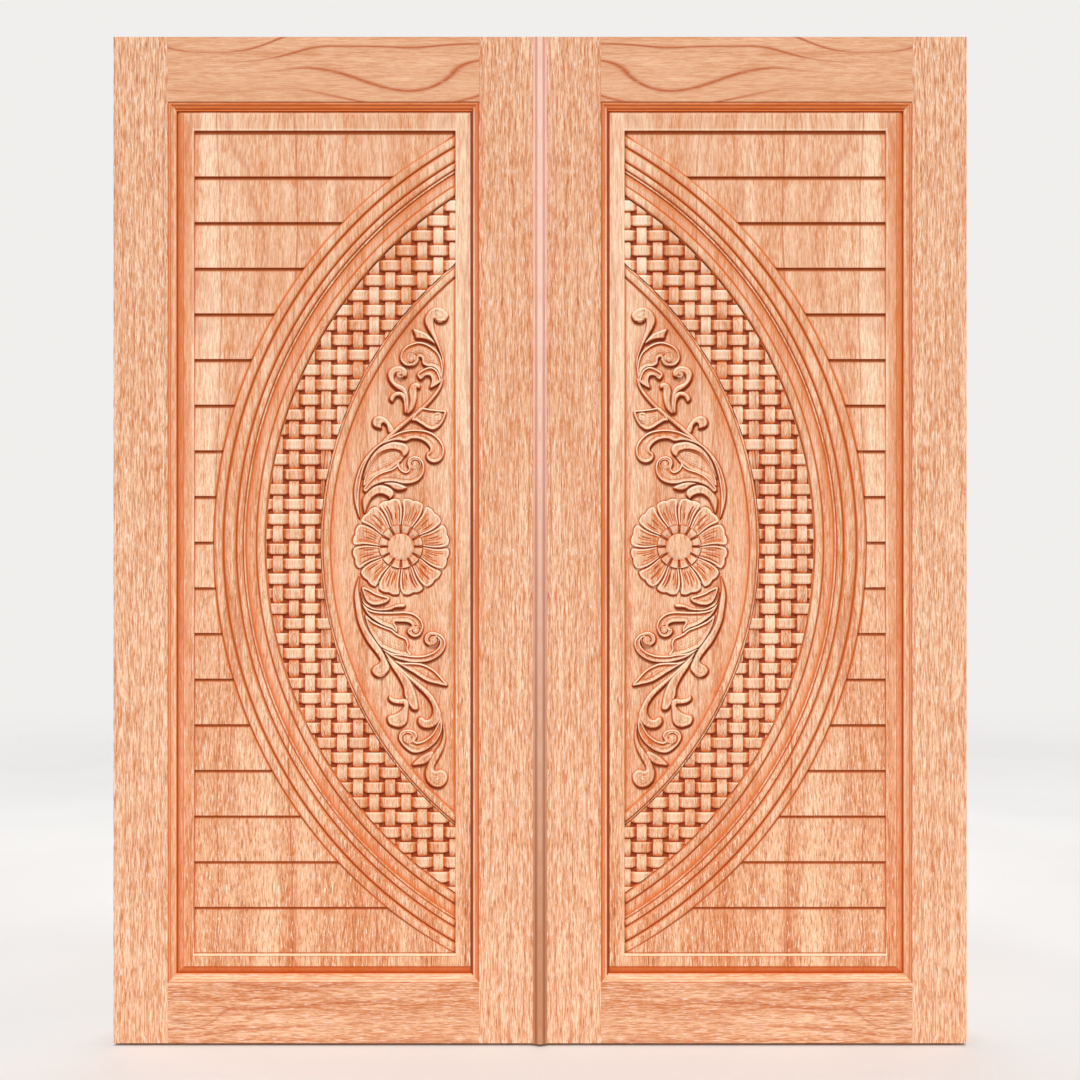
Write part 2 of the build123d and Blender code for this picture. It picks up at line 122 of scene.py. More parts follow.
def smooth(value: np.ndarray) -> np.ndarray:
    """Eases values from 0 to 1 with no corner at either end."""
    share = np.clip(value, 0.0, 1.0)
    return share * share * (3.0 - 2.0 * share)


class Wire:
    """A shader socket that can be used in sums."""

    def __init__(self, graph: "Graph", socket: bpy.types.NodeSocket) -> None:
        """Wraps one output socket of a graph."""
        self.graph = graph
        self.socket = socket

    def _math(self, operation: str, first: "Value", second: "Value") -> "Wire":
        """Adds one Math node on two values."""
        return self.graph.node("ShaderNodeMath", {"operation": operation}, {0: first, 1: second})

    def __add__(self, other: "Value") -> "Wire":
        """Sum."""
        return self._math("ADD", self, other)

    def __radd__(self, other: "Value") -> "Wire":
        """Sum, with the number first."""
        return self._math("ADD", other, self)

    def __sub__(self, other: "Value") -> "Wire":
        """Difference."""
        return self._math("SUBTRACT", self, other)

    def __rsub__(self, other: "Value") -> "Wire":
        """Difference, with the number first."""
        return self._math("SUBTRACT", other, self)

    def __mul__(self, other: "Value") -> "Wire":
        """Product."""
        return self._math("MULTIPLY", self, other)

    def __rmul__(self, other: "Value") -> "Wire":
        """Product, with the number first."""
        return self._math("MULTIPLY", other, self)

    def __truediv__(self, other: "Value") -> "Wire":
        """Quotient."""
        return self._math("DIVIDE", self, other)

    def __pow__(self, other: "Value") -> "Wire":
        """Power."""
        return self._math("POWER", self, other)

    def __abs__(self) -> "Wire":
        """Size without sign."""
        return self.graph.node("ShaderNodeMath", {"operation": "ABSOLUTE"}, {0: self})

    def wave(self) -> "Wire":
        """A sine of this value, from 0 to 1."""
        return 0.5 + 0.5 * self.graph.node("ShaderNodeMath", {"operation": "SINE"}, {0: self})

    def span(self, low: float, high: float) -> "Wire":
        """This value eased from 0 at low to 1 at high."""
        settings = {"interpolation_type": "SMOOTHSTEP"}
        return self.graph.node("ShaderNodeMapRange", settings, {"Value": self, 1: low, 2: high})


Value = Union[Wire, float, int, Sequence[float]]
Owner = Union[bpy.types.Material, bpy.types.World]


class Graph:
    """The node tree of one material or of the sky."""

    def __init__(self, owner: Owner) -> None:
        """Empties the owner's node tree.

        Args:
            owner: The material or the sky that the tree belongs to.
        """
        self.owner = owner
        owner.use_nodes = True
        self.tree = owner.node_tree
        self.tree.nodes.clear()

    def node(
        self,
        kind: str,
        settings: dict[str, object] | None = None,
        inputs: dict[Union[int, str], Value] | None = None,
        output: Union[int, str] = 0,
    ) -> Wire:
        """Adds any node.

        Args:
            kind: Blender's type name of the node.
            settings: The node's own settings.
            inputs: Values or links of its sockets, by name or by place.
            output: The output that is handed back, by name or by place.

        Returns:
            The chosen output.
        """
        made = self.tree.nodes.new(kind)
        for key, value in (settings or {}).items():
            setattr(made, key, value)
        for key, value in (inputs or {}).items():
            if isinstance(value, Wire):
                self.tree.links.new(value.socket, made.inputs[key])
            else:
                made.inputs[key].default_value = value
        return Wire(self, made.outputs[output]) if made.outputs else Wire(self, made.inputs[0])

    def mix(self, share: Value, first: Value, second: Value, blend: str = "MIX") -> Wire:
        """Mixes two colours by a share of the second one."""
        settings = {"data_type": "RGBA", "blend_type": blend, "clamp_factor": True}
        return self.node("ShaderNodeMix", settings, {0: share, 6: first, 7: second}, 2)

    def vector(self, x: Value, y: Value, z: Value) -> Wire:
        """Joins three values into a vector."""
        return self.node("ShaderNodeCombineXYZ", {}, {0: x, 1: y, 2: z})

    def noise(self, place: Wire, detail: float, roughness: float = 0.5) -> Wire:
        """Noise about 0.5 at a place that is already scaled."""
        inputs = {"Vector": place, "Scale": 1.0, "Detail": detail, "Roughness": roughness}
        return self.node("ShaderNodeTexNoise", {"noise_dimensions": "3D"}, inputs)

    def surface(self, shader: Wire) -> Owner:
        """Ends the tree on a shader.

        Args:
            shader: What the surface or the sky shows.

        Returns:
            The owner of the tree.
        """
        kind = "World" if isinstance(self.owner, bpy.types.World) else "Material"
        self.node(f"ShaderNodeOutput{kind}", {}, {"Surface": shader})
        return self.owner


@dataclass(frozen=True)
class Knot:
    """A knot in a board, at a height along and across its grain, in metres."""

    along: float
    across: float
    radius: float
    push: float
    heart: float = 0.0
    stretch: float = 0.4
    reach: float = 3.4
    heart_span: Point = (0.1, 0.8)


@dataclass(frozen=True)
class NoiseLayer:
    """One noise of the wood: how fine it is across and along the grain, and where it starts.

    Seed shares and starts are given across the grain, into the board and along the grain.
    """

    across: float
    along: float
    detail: float
    roughness: float = 0.5
    seed_shares: Triple = (0.0, 0.0, 0.0)
    starts: Triple = (0.0, 0.0, 0.0)


WOOD_NOISE: dict[str, NoiseLayer] = {
    "broad": NoiseLayer(7.0, 1.2, 2.0, seed_shares=(1.0, 0.0, 1.0)),
    "figure": NoiseLayer(5.0, 1.5, 2.0, seed_shares=(1.0, 0.0, -1.0)),
    "streak": NoiseLayer(120.0, 4.0, 3.0, 0.6, (0.0, 1.0, 0.0)),
    "fibre": NoiseLayer(380.0, 24.0, 3.0, 0.75, (0.0, 1.0, 0.0)),
    "flecks": NoiseLayer(380.0, 40.0, 1.5, 0.6, (0.0, -1.0, 0.0), (3.0, 0.0, 0.0)),
    "dashes": NoiseLayer(540.0, 44.0, 2.0, 0.6, (0.0, 0.0, 1.0), (7.0, 0.0, 0.0)),
    "fade": NoiseLayer(9.0, 2.2, 1.0, seed_shares=(-1.0, 0.0, 0.0), starts=(0.0, 0.0, 5.0)),
    "bands": NoiseLayer(22.0, 0.9, 2.0, seed_shares=(2.0, 0.0, 0.0)),
}


@dataclass(frozen=True)
class TeakFinish:
    """Raw planed teak: tan to orange, with streaky fibres, pores, pale specks and thin growth lines, and
    painted shade and highlights on carved meshes.

    Spans are the values between which a mark fades in. Shares and strengths run from 0 to 1.
    """

    name: str
    grain: Grain
    seed: float
    light: Colour = srgb(253, 214, 178)
    body: Colour = srgb(212, 132, 80)
    growth: Colour = srgb(184, 86, 36)
    pore: Colour = srgb(158, 78, 34)
    glint: Colour = srgb(252, 234, 222)
    # Painted shade in carved hollows, painted shadow in the deepest ones, and a painted highlight on crests
    hollow_shade: Colour = srgb(224, 114, 38)
    shadow: Colour = srgb(132, 40, 8)
    crest: Colour = srgb(255, 234, 206)
    ring_density: float = 16.0
    ring_wander: float = 2.6
    ring_share: float = 0.5
    ring_edge: float = 14.0
    ring_glow: float = 0.14
    ring_fade_span: Point = (0.26, 0.52)
    ring_fibre_span: Point = (0.15, 0.55)
    streak_share: float = 0.24
    streak_span: Point = (0.3, 0.7)
    fleck_share: float = 0.26
    fleck_span: Point = (0.43, 0.57)
    fibre_contrast: float = 1.0
    fibre_span: Point = (0.39, 0.61)
    band_share: float = 0.0
    band_span: Point = (0.34, 0.66)
    broad_strength: float = 0.35
    broad_span: Point = (0.45, 0.8)
    dash_share: float = 0.75
    dash_foot: float = 0.0
    dash_heights: Point = (1.9, 0.3)
    pore_span: Point = (0.34, 0.44)
    pore_strength: float = 0.7
    glint_span: Point = (0.58, 0.67)
    seams: tuple[float, ...] = ()
    seam_wander: float = 0.06
    seam_span: Point = (0.0006, 0.0022)
    seam_strength: float = 0.55
    knots: tuple[Knot, ...] = ()
    # Spread and strength of the painted shade, shadow and highlight on carved meshes
    cut_rough: float = 0.35
    cut_rough_span: Point = (0.0, 0.3)
    crest_highlight_strength: float = 0.9
    hollow_shade_span: Point = (0.05, 0.6)
    shadow_span: Point = (0.5, 1.05)
    cut_shade_strength: float = 0.85
    foot_tone: Colour | None = None
    foot_heights: Point = (1.8, 0.0)
    bump_strength: float = 0.25
    bump_depth: float = 0.0008
    sheen: float = 0.2

    def _axes(self, g: Graph) -> tuple[Wire, Wire, Wire]:
        """Finds places on the board, alike on both leaves.

        Args:
            g: The material's tree.

        Returns:
            Places across the grain, into the board and along the grain.
        """
        place = g.node("ShaderNodeTexCoord", {}, {}, "Object")
        x, y, z = (g.node("ShaderNodeSeparateXYZ", {}, {0: place}, axis) for axis in range(3))
        return (abs(x), y, z) if self.grain is Grain.UPRIGHT else (z, y, abs(x))

    def _noise(self, g: Graph, name: str, places: tuple[Wire, Wire, Wire]) -> Wire:
        """Adds one of the wood's noises.

        Args:
            g: The material's tree.
            name: The noise's name.
            places: Places across the grain, into the board and along the grain.

        Returns:
            The noise, about 0.5.
        """
        layer = WOOD_NOISE[name]
        scales = (layer.across, layer.across, layer.along)
        shifts = [share * self.seed + start for share, start in zip(layer.seed_shares, layer.starts)]
        moved = [place * scale + shift for place, scale, shift in zip(places, scales, shifts)]
        return g.noise(g.vector(*moved), layer.detail, layer.roughness)

    def _knot_pull(self, along: Wire, across: Wire) -> tuple[Wire | None, Wire | None]:
        """Finds what the knots do to the wood, if there are any.

        Args:
            along: Places along the grain.
            across: Places across the grain.

        Returns:
            How far the knots push the growth lines aside, and where their dark hearts lie.
        """
        push: Wire | None = None
        heart: Wire | None = None
        for knot in self.knots:
            far = ((along - knot.along) * (knot.stretch / knot.radius)) ** 2.0
            near = ((across - knot.across) / knot.radius) ** 2.0
            distance = (far + near) ** 0.5
            bump = (1.0 - distance.span(0.0, knot.reach)) * knot.push
            core = (1.0 - distance.span(*knot.heart_span)) * knot.heart
            push = bump if push is None else push + bump
            heart = core if heart is None else heart + core
        return push, heart

    def _seam_lines(self, across: Wire, figure: Wire) -> Wire | None:
        """Draws thin dark lines where the panel's boards are glued, a little wavy.

        Args:
            across: Places across the grain.
            figure: The noise that bends the lines.

        Returns:
            Where the lines lie, if there are any.
        """
        lines: Wire | None = None
        for seam in self.seams:
            line = 1.0 - abs(across - seam + (figure - 0.5) * self.seam_wander).span(*self.seam_span)
            lines = line if lines is None else lines + line
        return lines

    def _rings(self, along: Wire, across: Wire, noises: dict[str, Wire]) -> tuple[Wire, Wire | None]:
        """Draws the growth lines.

        Args:
            along: Places along the grain.
            across: Places across the grain.
            noises: The wood's noises.

        Returns:
            Where the lines lie, and the knots' dark hearts if there are any.
        """
        phase = across * self.ring_density + noises["figure"] * self.ring_wander
        push, heart = self._knot_pull(along, across)
        if push is not None:
            phase = phase + push
        wave = (phase * math.tau).wave()
        lines = wave ** self.ring_edge + wave * wave * self.ring_glow
        return lines * noises["fade"].span(*self.ring_fade_span), heart

    def _tone(self, noises: dict[str, Wire]) -> Wire:
        """Joins fibres, streaks, flecks and bands.

        Args:
            noises: The wood's noises.

        Returns:
            The share of light wood.
        """
        fibre_share = 1.0 - self.streak_share - self.fleck_share
        tone = noises["fibre"].span(*self.fibre_span) * fibre_share
        tone = tone + noises["streak"].span(*self.streak_span) * self.streak_share
        tone = tone + noises["flecks"].span(*self.fleck_span) * self.fleck_share
        bands = noises["bands"].span(*self.band_span) - 0.5
        return (tone - 0.5) * self.fibre_contrast + bands * self.band_share + 0.5

    def _paint_relief_light(self, g: Graph, colour: Wire, fibre: Wire) -> Wire:
        """Paints shade and highlights on the wood by the carving's relief, where a mesh has it.

        Args:
            g: The material's tree.
            colour: The plain wood.
            fibre: The noise that frays the edges of the tints.

        Returns:
            The wood, with a painted highlight on crests and painted shade and shadow in hollows.
        """
        relief = g.node("ShaderNodeAttribute", {"attribute_name": "relief"}, {}, "Fac")
        rough = relief + (fibre - 0.5) * self.cut_rough * relief.span(*self.cut_rough_span)
        colour = g.mix((relief * -1.0).span(0.0, 1.0) * self.crest_highlight_strength, colour, self.crest)
        colour = g.mix(rough.span(*self.hollow_shade_span) * self.cut_shade_strength, colour, self.hollow_shade)
        return g.mix(rough.span(*self.shadow_span) * self.cut_shade_strength, colour, self.shadow)

    def material(self) -> bpy.types.Material:
        """Builds the finish.

        Returns:
            The wood's material.
        """
        g = Graph(bpy.data.materials.new(self.name))
        across, deep, along = self._axes(g)
        noises = {name: self._noise(g, name, (across, deep, along)) for name in WOOD_NOISE}
        fibre, dashes = noises["fibre"], noises["dashes"]
        rings, heart = self._rings(along, across, noises)
        colour = g.mix(self._tone(noises), self.body, self.light)
        colour = g.mix(rings * self.ring_share * fibre.span(*self.ring_fibre_span), colour, self.growth)
        colour = g.mix(noises["broad"].span(*self.broad_span) * self.broad_strength, colour, self.body)
        seams = self._seam_lines(across, noises["figure"])
        if seams is not None:
            colour = g.mix(seams * self.seam_strength, colour, self.growth)
        dash_share = along.span(*self.dash_heights) * self.dash_foot + self.dash_share
        pores = (1.0 - dashes.span(*self.pore_span)) * dash_share
        colour = g.mix(pores * self.pore_strength, colour, self.pore)
        colour = g.mix(dashes.span(*self.glint_span) * dash_share, colour, self.glint)
        if heart is not None:
            colour = g.mix(heart, colour, self.pore)
        colour = self._paint_relief_light(g, colour, fibre)
        if self.foot_tone is not None:
            colour = g.mix(along.span(*self.foot_heights), colour, self.foot_tone, "MULTIPLY")
        height = fibre * 0.7 + noises["flecks"] * 0.4 - pores * 0.8 + rings * 0.2
        bump = {"Strength": self.bump_strength, "Distance": self.bump_depth, "Height": height}
        return g.surface(g.node("ShaderNodeBsdfPrincipled", {}, {
            "Base Color": colour,
            "Roughness": 0.54 + 0.16 * fibre,
            "Normal": g.node("ShaderNodeBump", {}, bump),
            "Specular IOR Level": self.sheen,
        }))


@dataclass(frozen=True)
class SteelFinish:
    """Plain brushed steel of the hinges."""

    name: str = "hinge_steel_brushed"
    bright: Colour = srgb(196, 194, 190)
    dull: Colour = srgb(142, 139, 134)
    brush_scale: Triple = (2600.0, 2600.0, 90.0)

    def material(self) -> bpy.types.Material:
        """Builds the finish with fine upright brush marks.

        Returns:
            The hinges' material.
        """
        g = Graph(bpy.data.materials.new(self.name))
        place = g.node("ShaderNodeTexCoord", {}, {}, "Object")
        settings = {"operation": "MULTIPLY"}
        brush = g.noise(g.node("ShaderNodeVectorMath", settings, {0: place, 1: self.brush_scale}), 3.0, 0.6)
        colour = g.mix(brush.span(0.3, 0.7), self.dull, self.bright)
        inputs = {"Base Color": colour, "Roughness": 0.26 + 0.2 * brush, "Metallic": 1.0}
        return g.surface(g.node("ShaderNodeBsdfPrincipled", {}, inputs))


@dataclass(frozen=True)
class StudioFinish:
    """Matt pale paint of the floor, which fades into the pale room far from the door."""

    name: str = "studio_pale"
    pale: Colour = srgb(236, 234, 231)
    shade: Colour = srgb(230, 228, 225)
    fade_start: float = 2.6
    fade_end: float = 7.5

    def material(self) -> bpy.types.Material:
        """Builds the finish with a faint cloud in it.

        Returns:
            The floor's material.
        """
        g = Graph(bpy.data.materials.new(self.name))
        place = g.node("ShaderNodeTexCoord", {}, {}, "Object")
        cloud = g.noise(place, 2.0)
        colour = g.mix(cloud.span(0.3, 0.7), self.pale, self.shade)
        inputs = {"Base Color": colour, "Roughness": 0.9, "Specular IOR Level": 0.1}
        paint = g.node("ShaderNodeBsdfPrincipled", {}, inputs)
        distance = g.node("ShaderNodeVectorMath", {"operation": "LENGTH"}, {0: place}, "Value")
        clear = g.node("ShaderNodeBsdfTransparent")
        share = distance.span(self.fade_start, self.fade_end)
        return g.surface(g.node("ShaderNodeMixShader", {}, {0: share, 1: paint, 2: clear}))


@dataclass(frozen=True)
class SkyFinish:
    """The room round the door: an even soft light that looks pale to the eye and in metal."""

    name: str = "studio_sky"
    seen: Colour = srgb(240, 239, 237)
    light: Colour = (0.95, 0.96, 1.0, 1.0)
    strength: float = 0.40

    def world(self) -> bpy.types.World:
        """Builds the room.

        Returns:
            The scene's world.
        """
        g = Graph(bpy.data.worlds.new(self.name))
        kinds = ("Is Camera Ray", "Is Glossy Ray", "Is Transmission Ray")
        camera, glossy, through = (g.node("ShaderNodeLightPath", {}, {}, kind) for kind in kinds)
        lit = g.node("ShaderNodeBackground", {}, {"Color": self.light, "Strength": self.strength})
        pale = g.node("ShaderNodeBackground", {}, {"Color": self.seen, "Strength": 1.0})
        return g.surface(g.node("ShaderNodeMixShader", {}, {0: camera + glossy + through, 1: lit, 2: pale}))


@dataclass(frozen=True)
class LeafPlan:
    """Places on the left leaf in millimetres, read from the CAD model.

    Depths are measured behind the leaf's front face.
    """

    front: float
    foot: float
    top: float
    inner: float
    open_left: float
    open_right: float
    open_foot: float
    open_top: float
    field_insets: Four = (53.6, 50.1, 60.0, 59.0)
    fan_radius: float = 978.0
    crown_gap: float = 40.0
    fan_drop: float = 6.0

    @classmethod
    def measure(cls) -> "LeafPlan":
        """Reads the leaf's frame from the CAD nodes.

        Returns:
            The left leaf's places.
        """
        stile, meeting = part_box("left_hinge_stile"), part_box("left_meeting_stile")
        top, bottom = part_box("left_top_rail"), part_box("left_bottom_rail")
        places = (
            stile[0].y, stile[0].z, stile[1].z, meeting[1].x,
            stile[1].x, meeting[0].x, bottom[1].z, top[0].z,
        )
        return cls(*[place / MM for place in places])

    @property
    def field_left(self) -> float:
        """Hinge side of the carved field."""
        return self.open_left + self.field_insets[0]

    @property
    def field_right(self) -> float:
        """Meeting side of the carved field."""
        return self.open_right - self.field_insets[1]

    @property
    def field_foot(self) -> float:
        """Foot of the carved field."""
        return self.open_foot + self.field_insets[2]

    @property
    def field_top(self) -> float:
        """Top of the carved field."""
        return self.open_top - self.field_insets[3]

    @property
    def fan_x(self) -> float:
        """Centre of the fan across the leaf."""
        return self.field_left + self.crown_gap + self.fan_radius

    @property
    def fan_z(self) -> float:
        """Centre of the fan's height."""
        return (self.field_foot + self.field_top) / 2.0 - self.fan_drop

    def arc_x(self, radius: float, z: np.ndarray) -> np.ndarray:
        """Where a circle of the fan stands across the leaf, no further than the field's edge.

        Args:
            radius: The circle's radius.
            z: Heights.

        Returns:
            The places across the leaf.
        """
        inside = np.maximum(radius**2 - (z - self.fan_z) ** 2, 0.0)
        return np.minimum(self.fan_x - np.sqrt(inside), self.field_right)


def place_mesh(
    name: str,
    points: Sequence[Triple],
    faces: Sequence[Sequence[int]],
    finish: bpy.types.Material,
) -> bpy.types.Object:
    """Makes a mesh object in the scene.

    Args:
        name: Name of the piece.
        points: Its points in metres.
        faces: Its faces, as numbers of points.
        finish: Its material.

    Returns:
        The new object.
    """
    mesh = bpy.data.meshes.new(name)
    mesh.from_pydata(points, [], faces)
    mesh.validate()
    mesh.materials.append(finish)
    made = bpy.data.objects.new(name, mesh)
    bpy.context.scene.collection.objects.link(made)
    LOG.info("%s: %d faces", name, len(mesh.polygons))
    return made


class Relief:
    """A carved surface, gathered in millimetres and made into one mesh. Its relief is painted light: a
    painted highlight below 0 and painted shade above 0.
    """

    def __init__(self, plan: LeafPlan, lean: float = 0.0) -> None:
        """Starts an empty surface on a leaf.

        Args:
            plan: The leaf's places.
            lean: Relief added as painted shade where the surface looks away from the light, and taken off as
                painted highlight on the other side.
        """
        self.plan = plan
        self.lean = lean
        self.places: list[np.ndarray] = []
        self.tints: list[np.ndarray] = []
        self.faces: list[tuple[int, ...]] = []
        self.count = 0

    def _keep(self, x: np.ndarray, depth: np.ndarray, z: np.ndarray, tint: np.ndarray) -> int:
        """Stores points.

        Args:
            x: Places across.
            depth: Depths behind the leaf's front.
            z: Heights.
            tint: Relief, the painted highlight or shade.

        Returns:
            The number of the first point.
        """
        first = self.count
        self.places.append(np.column_stack([x.ravel(), depth.ravel(), z.ravel()]))
        self.tints.append(np.asarray(tint, float).ravel())
        self.count += x.size
        return first

    def grid(
        self, x: np.ndarray, depth: np.ndarray, z: np.ndarray, tint: np.ndarray, flip: bool = False
    ) -> None:
        """Adds a sheet of quads. Rows that rise with columns to the right face the front.

        Args:
            x: Places across, as rows and columns.
            depth: Depths behind the leaf's front.
            z: Heights.
            tint: Relief from -1, a painted highlight on a crest, to 1, painted shade in a hollow.
            flip: Turns the faces over.
        """
        x, depth, z, tint = np.broadcast_arrays(x, depth, z, tint)
        rows, columns = x.shape
        first = self._keep(x, depth, z, tint)
        number = first + np.arange(rows * columns).reshape(rows, columns)
        corners = [number[:-1, :-1], number[:-1, 1:], number[1:, 1:], number[1:, :-1]]
        quads = np.stack([corner.ravel() for corner in corners], axis=1)
        self.faces += [tuple(quad) for quad in (quads[:, ::-1] if flip else quads).tolist()]

    def patch(self, points: np.ndarray, faces: Iterable[Sequence[int]], tint: np.ndarray) -> None:
        """Adds points as rows of x, depth and z, and the faces between them."""
        first = self._keep(points[:, 0], points[:, 1], points[:, 2], tint)
        self.faces += [tuple(first + index for index in face) for face in faces]

    def build(
        self, name: str, side: Side, finish: bpy.types.Material, crease: float = 38.0
    ) -> bpy.types.Object:
        """Makes the mesh object.

        Args:
            name: Name of the piece.
            side: The leaf that it is on.
            finish: Its material.
            crease: Corners sharper than this angle in degrees stay crisp.

        Returns:
            The new object, riding on its leaf.
        """
        places = np.concatenate(self.places)
        places[:, 1] += self.plan.front
        places[:, 0] *= side.flip
        faces = self.faces if side is Side.LEFT else [face[::-1] for face in self.faces]
        made = place_mesh(name, (places * MM).tolist(), faces, finish)
        mesh = made.data
        # Painted shade on faces turned from the light and painted highlight on faces turned to it, stored as
        # relief
        normals = np.empty(3 * len(places), np.float32)
        mesh.vertex_normals.foreach_get("vector", normals)
        facing = LIGHT_WAY[0] * side.flip * normals[0::3] + LIGHT_WAY[1] * normals[2::3]
        tints = np.concatenate(self.tints) - self.lean * facing
        layer = mesh.attributes.new("relief", "FLOAT", "POINT")
        layer.data.foreach_set("value", tints.astype(np.float32))
        mesh.shade_smooth()
        mesh.set_sharp_from_angle(angle=math.radians(crease))
        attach(made, side.body)
        return made

    def build_carving(
        self, name: str, side: Side, finish: bpy.types.Material, crease: float = 38.0
    ) -> bpy.types.Object:
        """Makes the mesh object as a part of a leaf's carved panel.

        Args:
            name: Name of the piece without its side.
            side: The leaf that it is on.
            finish: Its material.
            crease: Corners sharper than this angle in degrees stay crisp.

        Returns:
            The new object, in place of the CAD panel.
        """
        made = self.build(f"{side.value}_{name}", side, finish, crease)
        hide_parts(f"{side.value}_carved_panel")
        return made


@dataclass(frozen=True)
class FanPoint:
    """A point of the fan's section: inset from its rim, drop below its valleys, and relief, which paints
    shade above 0 and a highlight below 0.
    """

    inset: float
    drop: float
    tint: float


@dataclass(frozen=True)
class FanBead:
    """A round bead of the fan: insets of its two edges, and drops of the valleys beside them."""

    start: float
    end: float
    drops: Point = (0.0, 0.0)


@dataclass
class PanelGround:
    """The panel's board: bevelled border, lapped slats, the fan's beads and the half moon.

    Insets and bevels are given for the left, right, foot and top, painted shade tints for the foot, right,
    top and left.
    """

    plan: LeafPlan
    board_depths: Point = (15.15, 26.85)
    tongue: float = 10.0
    edge: float = 18.0
    bevels: Four = (14.6, 2.0, 14.6, 6.0)
    border_depth: float = 8.0
    floor_depth: float = 17.4
    # Shares of the bevel with rises from the board's front, and one with a drop from the border
    low_bevel: tuple[Point, ...] = ((0.15, 1.2), (0.45, 3.2))
    high_bevel: Point = (0.7, 2.2)
    # Distances past the bevel and past the field's edge, with drops from the border
    brow: tuple[Point, ...] = ((-1.2, 0.5), (0.8, 0.0), (3.0, 0.0))
    arris: tuple[Point, ...] = ((-5.5, 0.0), (-4.2, 0.0), (-1.0, 0.1), (0.0, 1.2))
    # The border's tints are painted shade and highlight, set for each side by how the light falls on it
    tongue_tint: float = 0.2
    bevel_tints: tuple[tuple[float, ...], ...] = (
        (0.85, 0.5, 0.42, 0.4, 0.75),
        (1.0, 0.3, 0.05, 0.0, 0.3),
        (0.75, 0.4, 0.3, 0.32, 0.5),
        (0.8, 0.44, 0.27, 0.25, 0.42),
    )
    flat_tints: Four = (0.1, 0.0, -0.05, 0.27)
    flat_changes: tuple[float, ...] = (-0.2, 0.0, 0.0, -0.35, -0.45)
    edge_tints: Point = (0.55, 1.0)
    # Height from the field's foot, drop from the border and relief: a painted highlight on the fillet between
    # lines of painted shade
    fillet: tuple[Triple, ...] = (
        (-7.5, 0.0, 0.35), (-6.6, -0.1, 0.5), (-5.6, -0.5, -0.9),
        (-1.8, -0.5, -0.9), (-0.8, -0.1, 0.5), (0.0, 0.6, 0.9),
    )
    slat_count: int = 18
    proud_depth: float = 9.4
    sunk_depth: float = 15.4
    # Heights above a slat's foot, depths and relief of its nose, with painted shadow on its underside
    nose: tuple[Triple, ...] = ((0.0, 16.6, 1.0), (0.0, 10.8, 0.95), (0.6, 9.7, 0.3))
    # Heights above its foot, then distances below its top, each with relief; the top takes the painted shadow
    # of the slat above
    slat_foot: tuple[Point, ...] = ((1.8, -0.3), (4.0, -0.1))
    slat_top: tuple[Point, ...] = ((8.0, 0.15), (4.5, 0.6), (0.0, 1.0))
    slat_middle: int = 5
    slat_margin: float = 18.0
    # Distances from a slat's two ends, each with relief, painted shade against the field's wall and the fan
    slat_start: tuple[Point, ...] = ((0.0, 0.7), (1.5, 0.3), (4.5, 0.0))
    slat_end: tuple[Point, ...] = ((13.0, 0.0), (7.5, 0.35), (4.0, 0.9), (0.0, 1.0))
    slat_shares: tuple[float, ...] = (0.15, 0.3833333333, 0.6166666667, 0.85)
    slat_tuck: float = 4.0
    crest_depth: float = 7.8
    valley_depth: float = 13.4
    moon_depth: float = 14.5
    bead_steps: int = 12
    bead_power: float = 0.8
    # Painted shade at a bead's sides and a painted highlight along its crest
    bead_shade: float = 0.72
    bead_shade_start: float = 0.45
    bead_light: float = 0.6
    bead_light_reach: float = 0.6
    fan: tuple[Union[FanPoint, FanBead], ...] = (
        FanPoint(0.0, 4.0, 1.0),
        FanBead(0.0, 20.0, (-1.0, 0.0)),
        FanBead(20.8, 47.5),
        FanBead(48.3, 62.0),
        FanPoint(62.8, -0.6, 0.6),
        FanPoint(63.6, -2.6, -0.7),
        FanPoint(66.0, -2.6, -0.7),
        FanPoint(67.2, 0.2, 0.85),
        FanPoint(71.0, 0.5, 0.42),
        FanPoint(78.0, 0.5, 0.2),
        FanPoint(86.0, 0.5, 0.2),
        FanPoint(88.8, 0.6, 0.85),
        FanBead(89.4, 108.5, (0.6, 1.0)),
        FanPoint(110.5, 1.0, 0.7),
        FanPoint(111.0, 3.2, 1.15),
        FanPoint(223.6, 3.2, 1.15),
        FanPoint(224.0, 0.6, 0.7),
        FanPoint(226.0, -0.8, -0.4),
        FanPoint(228.0, -0.6, 0.4),
        FanBead(228.4, 245.0, (0.0, 1.1)),
        FanPoint(248.0, 1.1, 0.25),
    )
    arc_steps: int = 190
    # Painted shade where the fan meets the field's meeting side
    fan_end_shade: float = 0.9
    fan_end_reach: float = 5.0
    moon_steps: int = 7
    moon_end: tuple[float, ...] = (7.0, 3.0, 0.0)
    # Painted shade along the half moon's edges
    moon_tints: tuple[float, ...] = (0.3, 0.0, 0.0, 0.0, 0.0, 0.0, 0.0, 0.45, 0.8)
    # Painted shade on faces turned from the light, and painted highlight on faces turned to it
    lean: float = 0.3

    def _inset(self, insets: Sequence[float]) -> list[Point]:
        """Draws the panel opening in.

        Args:
            insets: Distances from the left, right, foot and top.

        Returns:
            Its corners, in order round it.
        """
        p = self.plan
        left, right = p.open_left + insets[0], p.open_right - insets[1]
        foot, top = p.open_foot + insets[2], p.open_top - insets[3]
        return [(left, foot), (right, foot), (right, top), (left, top)]

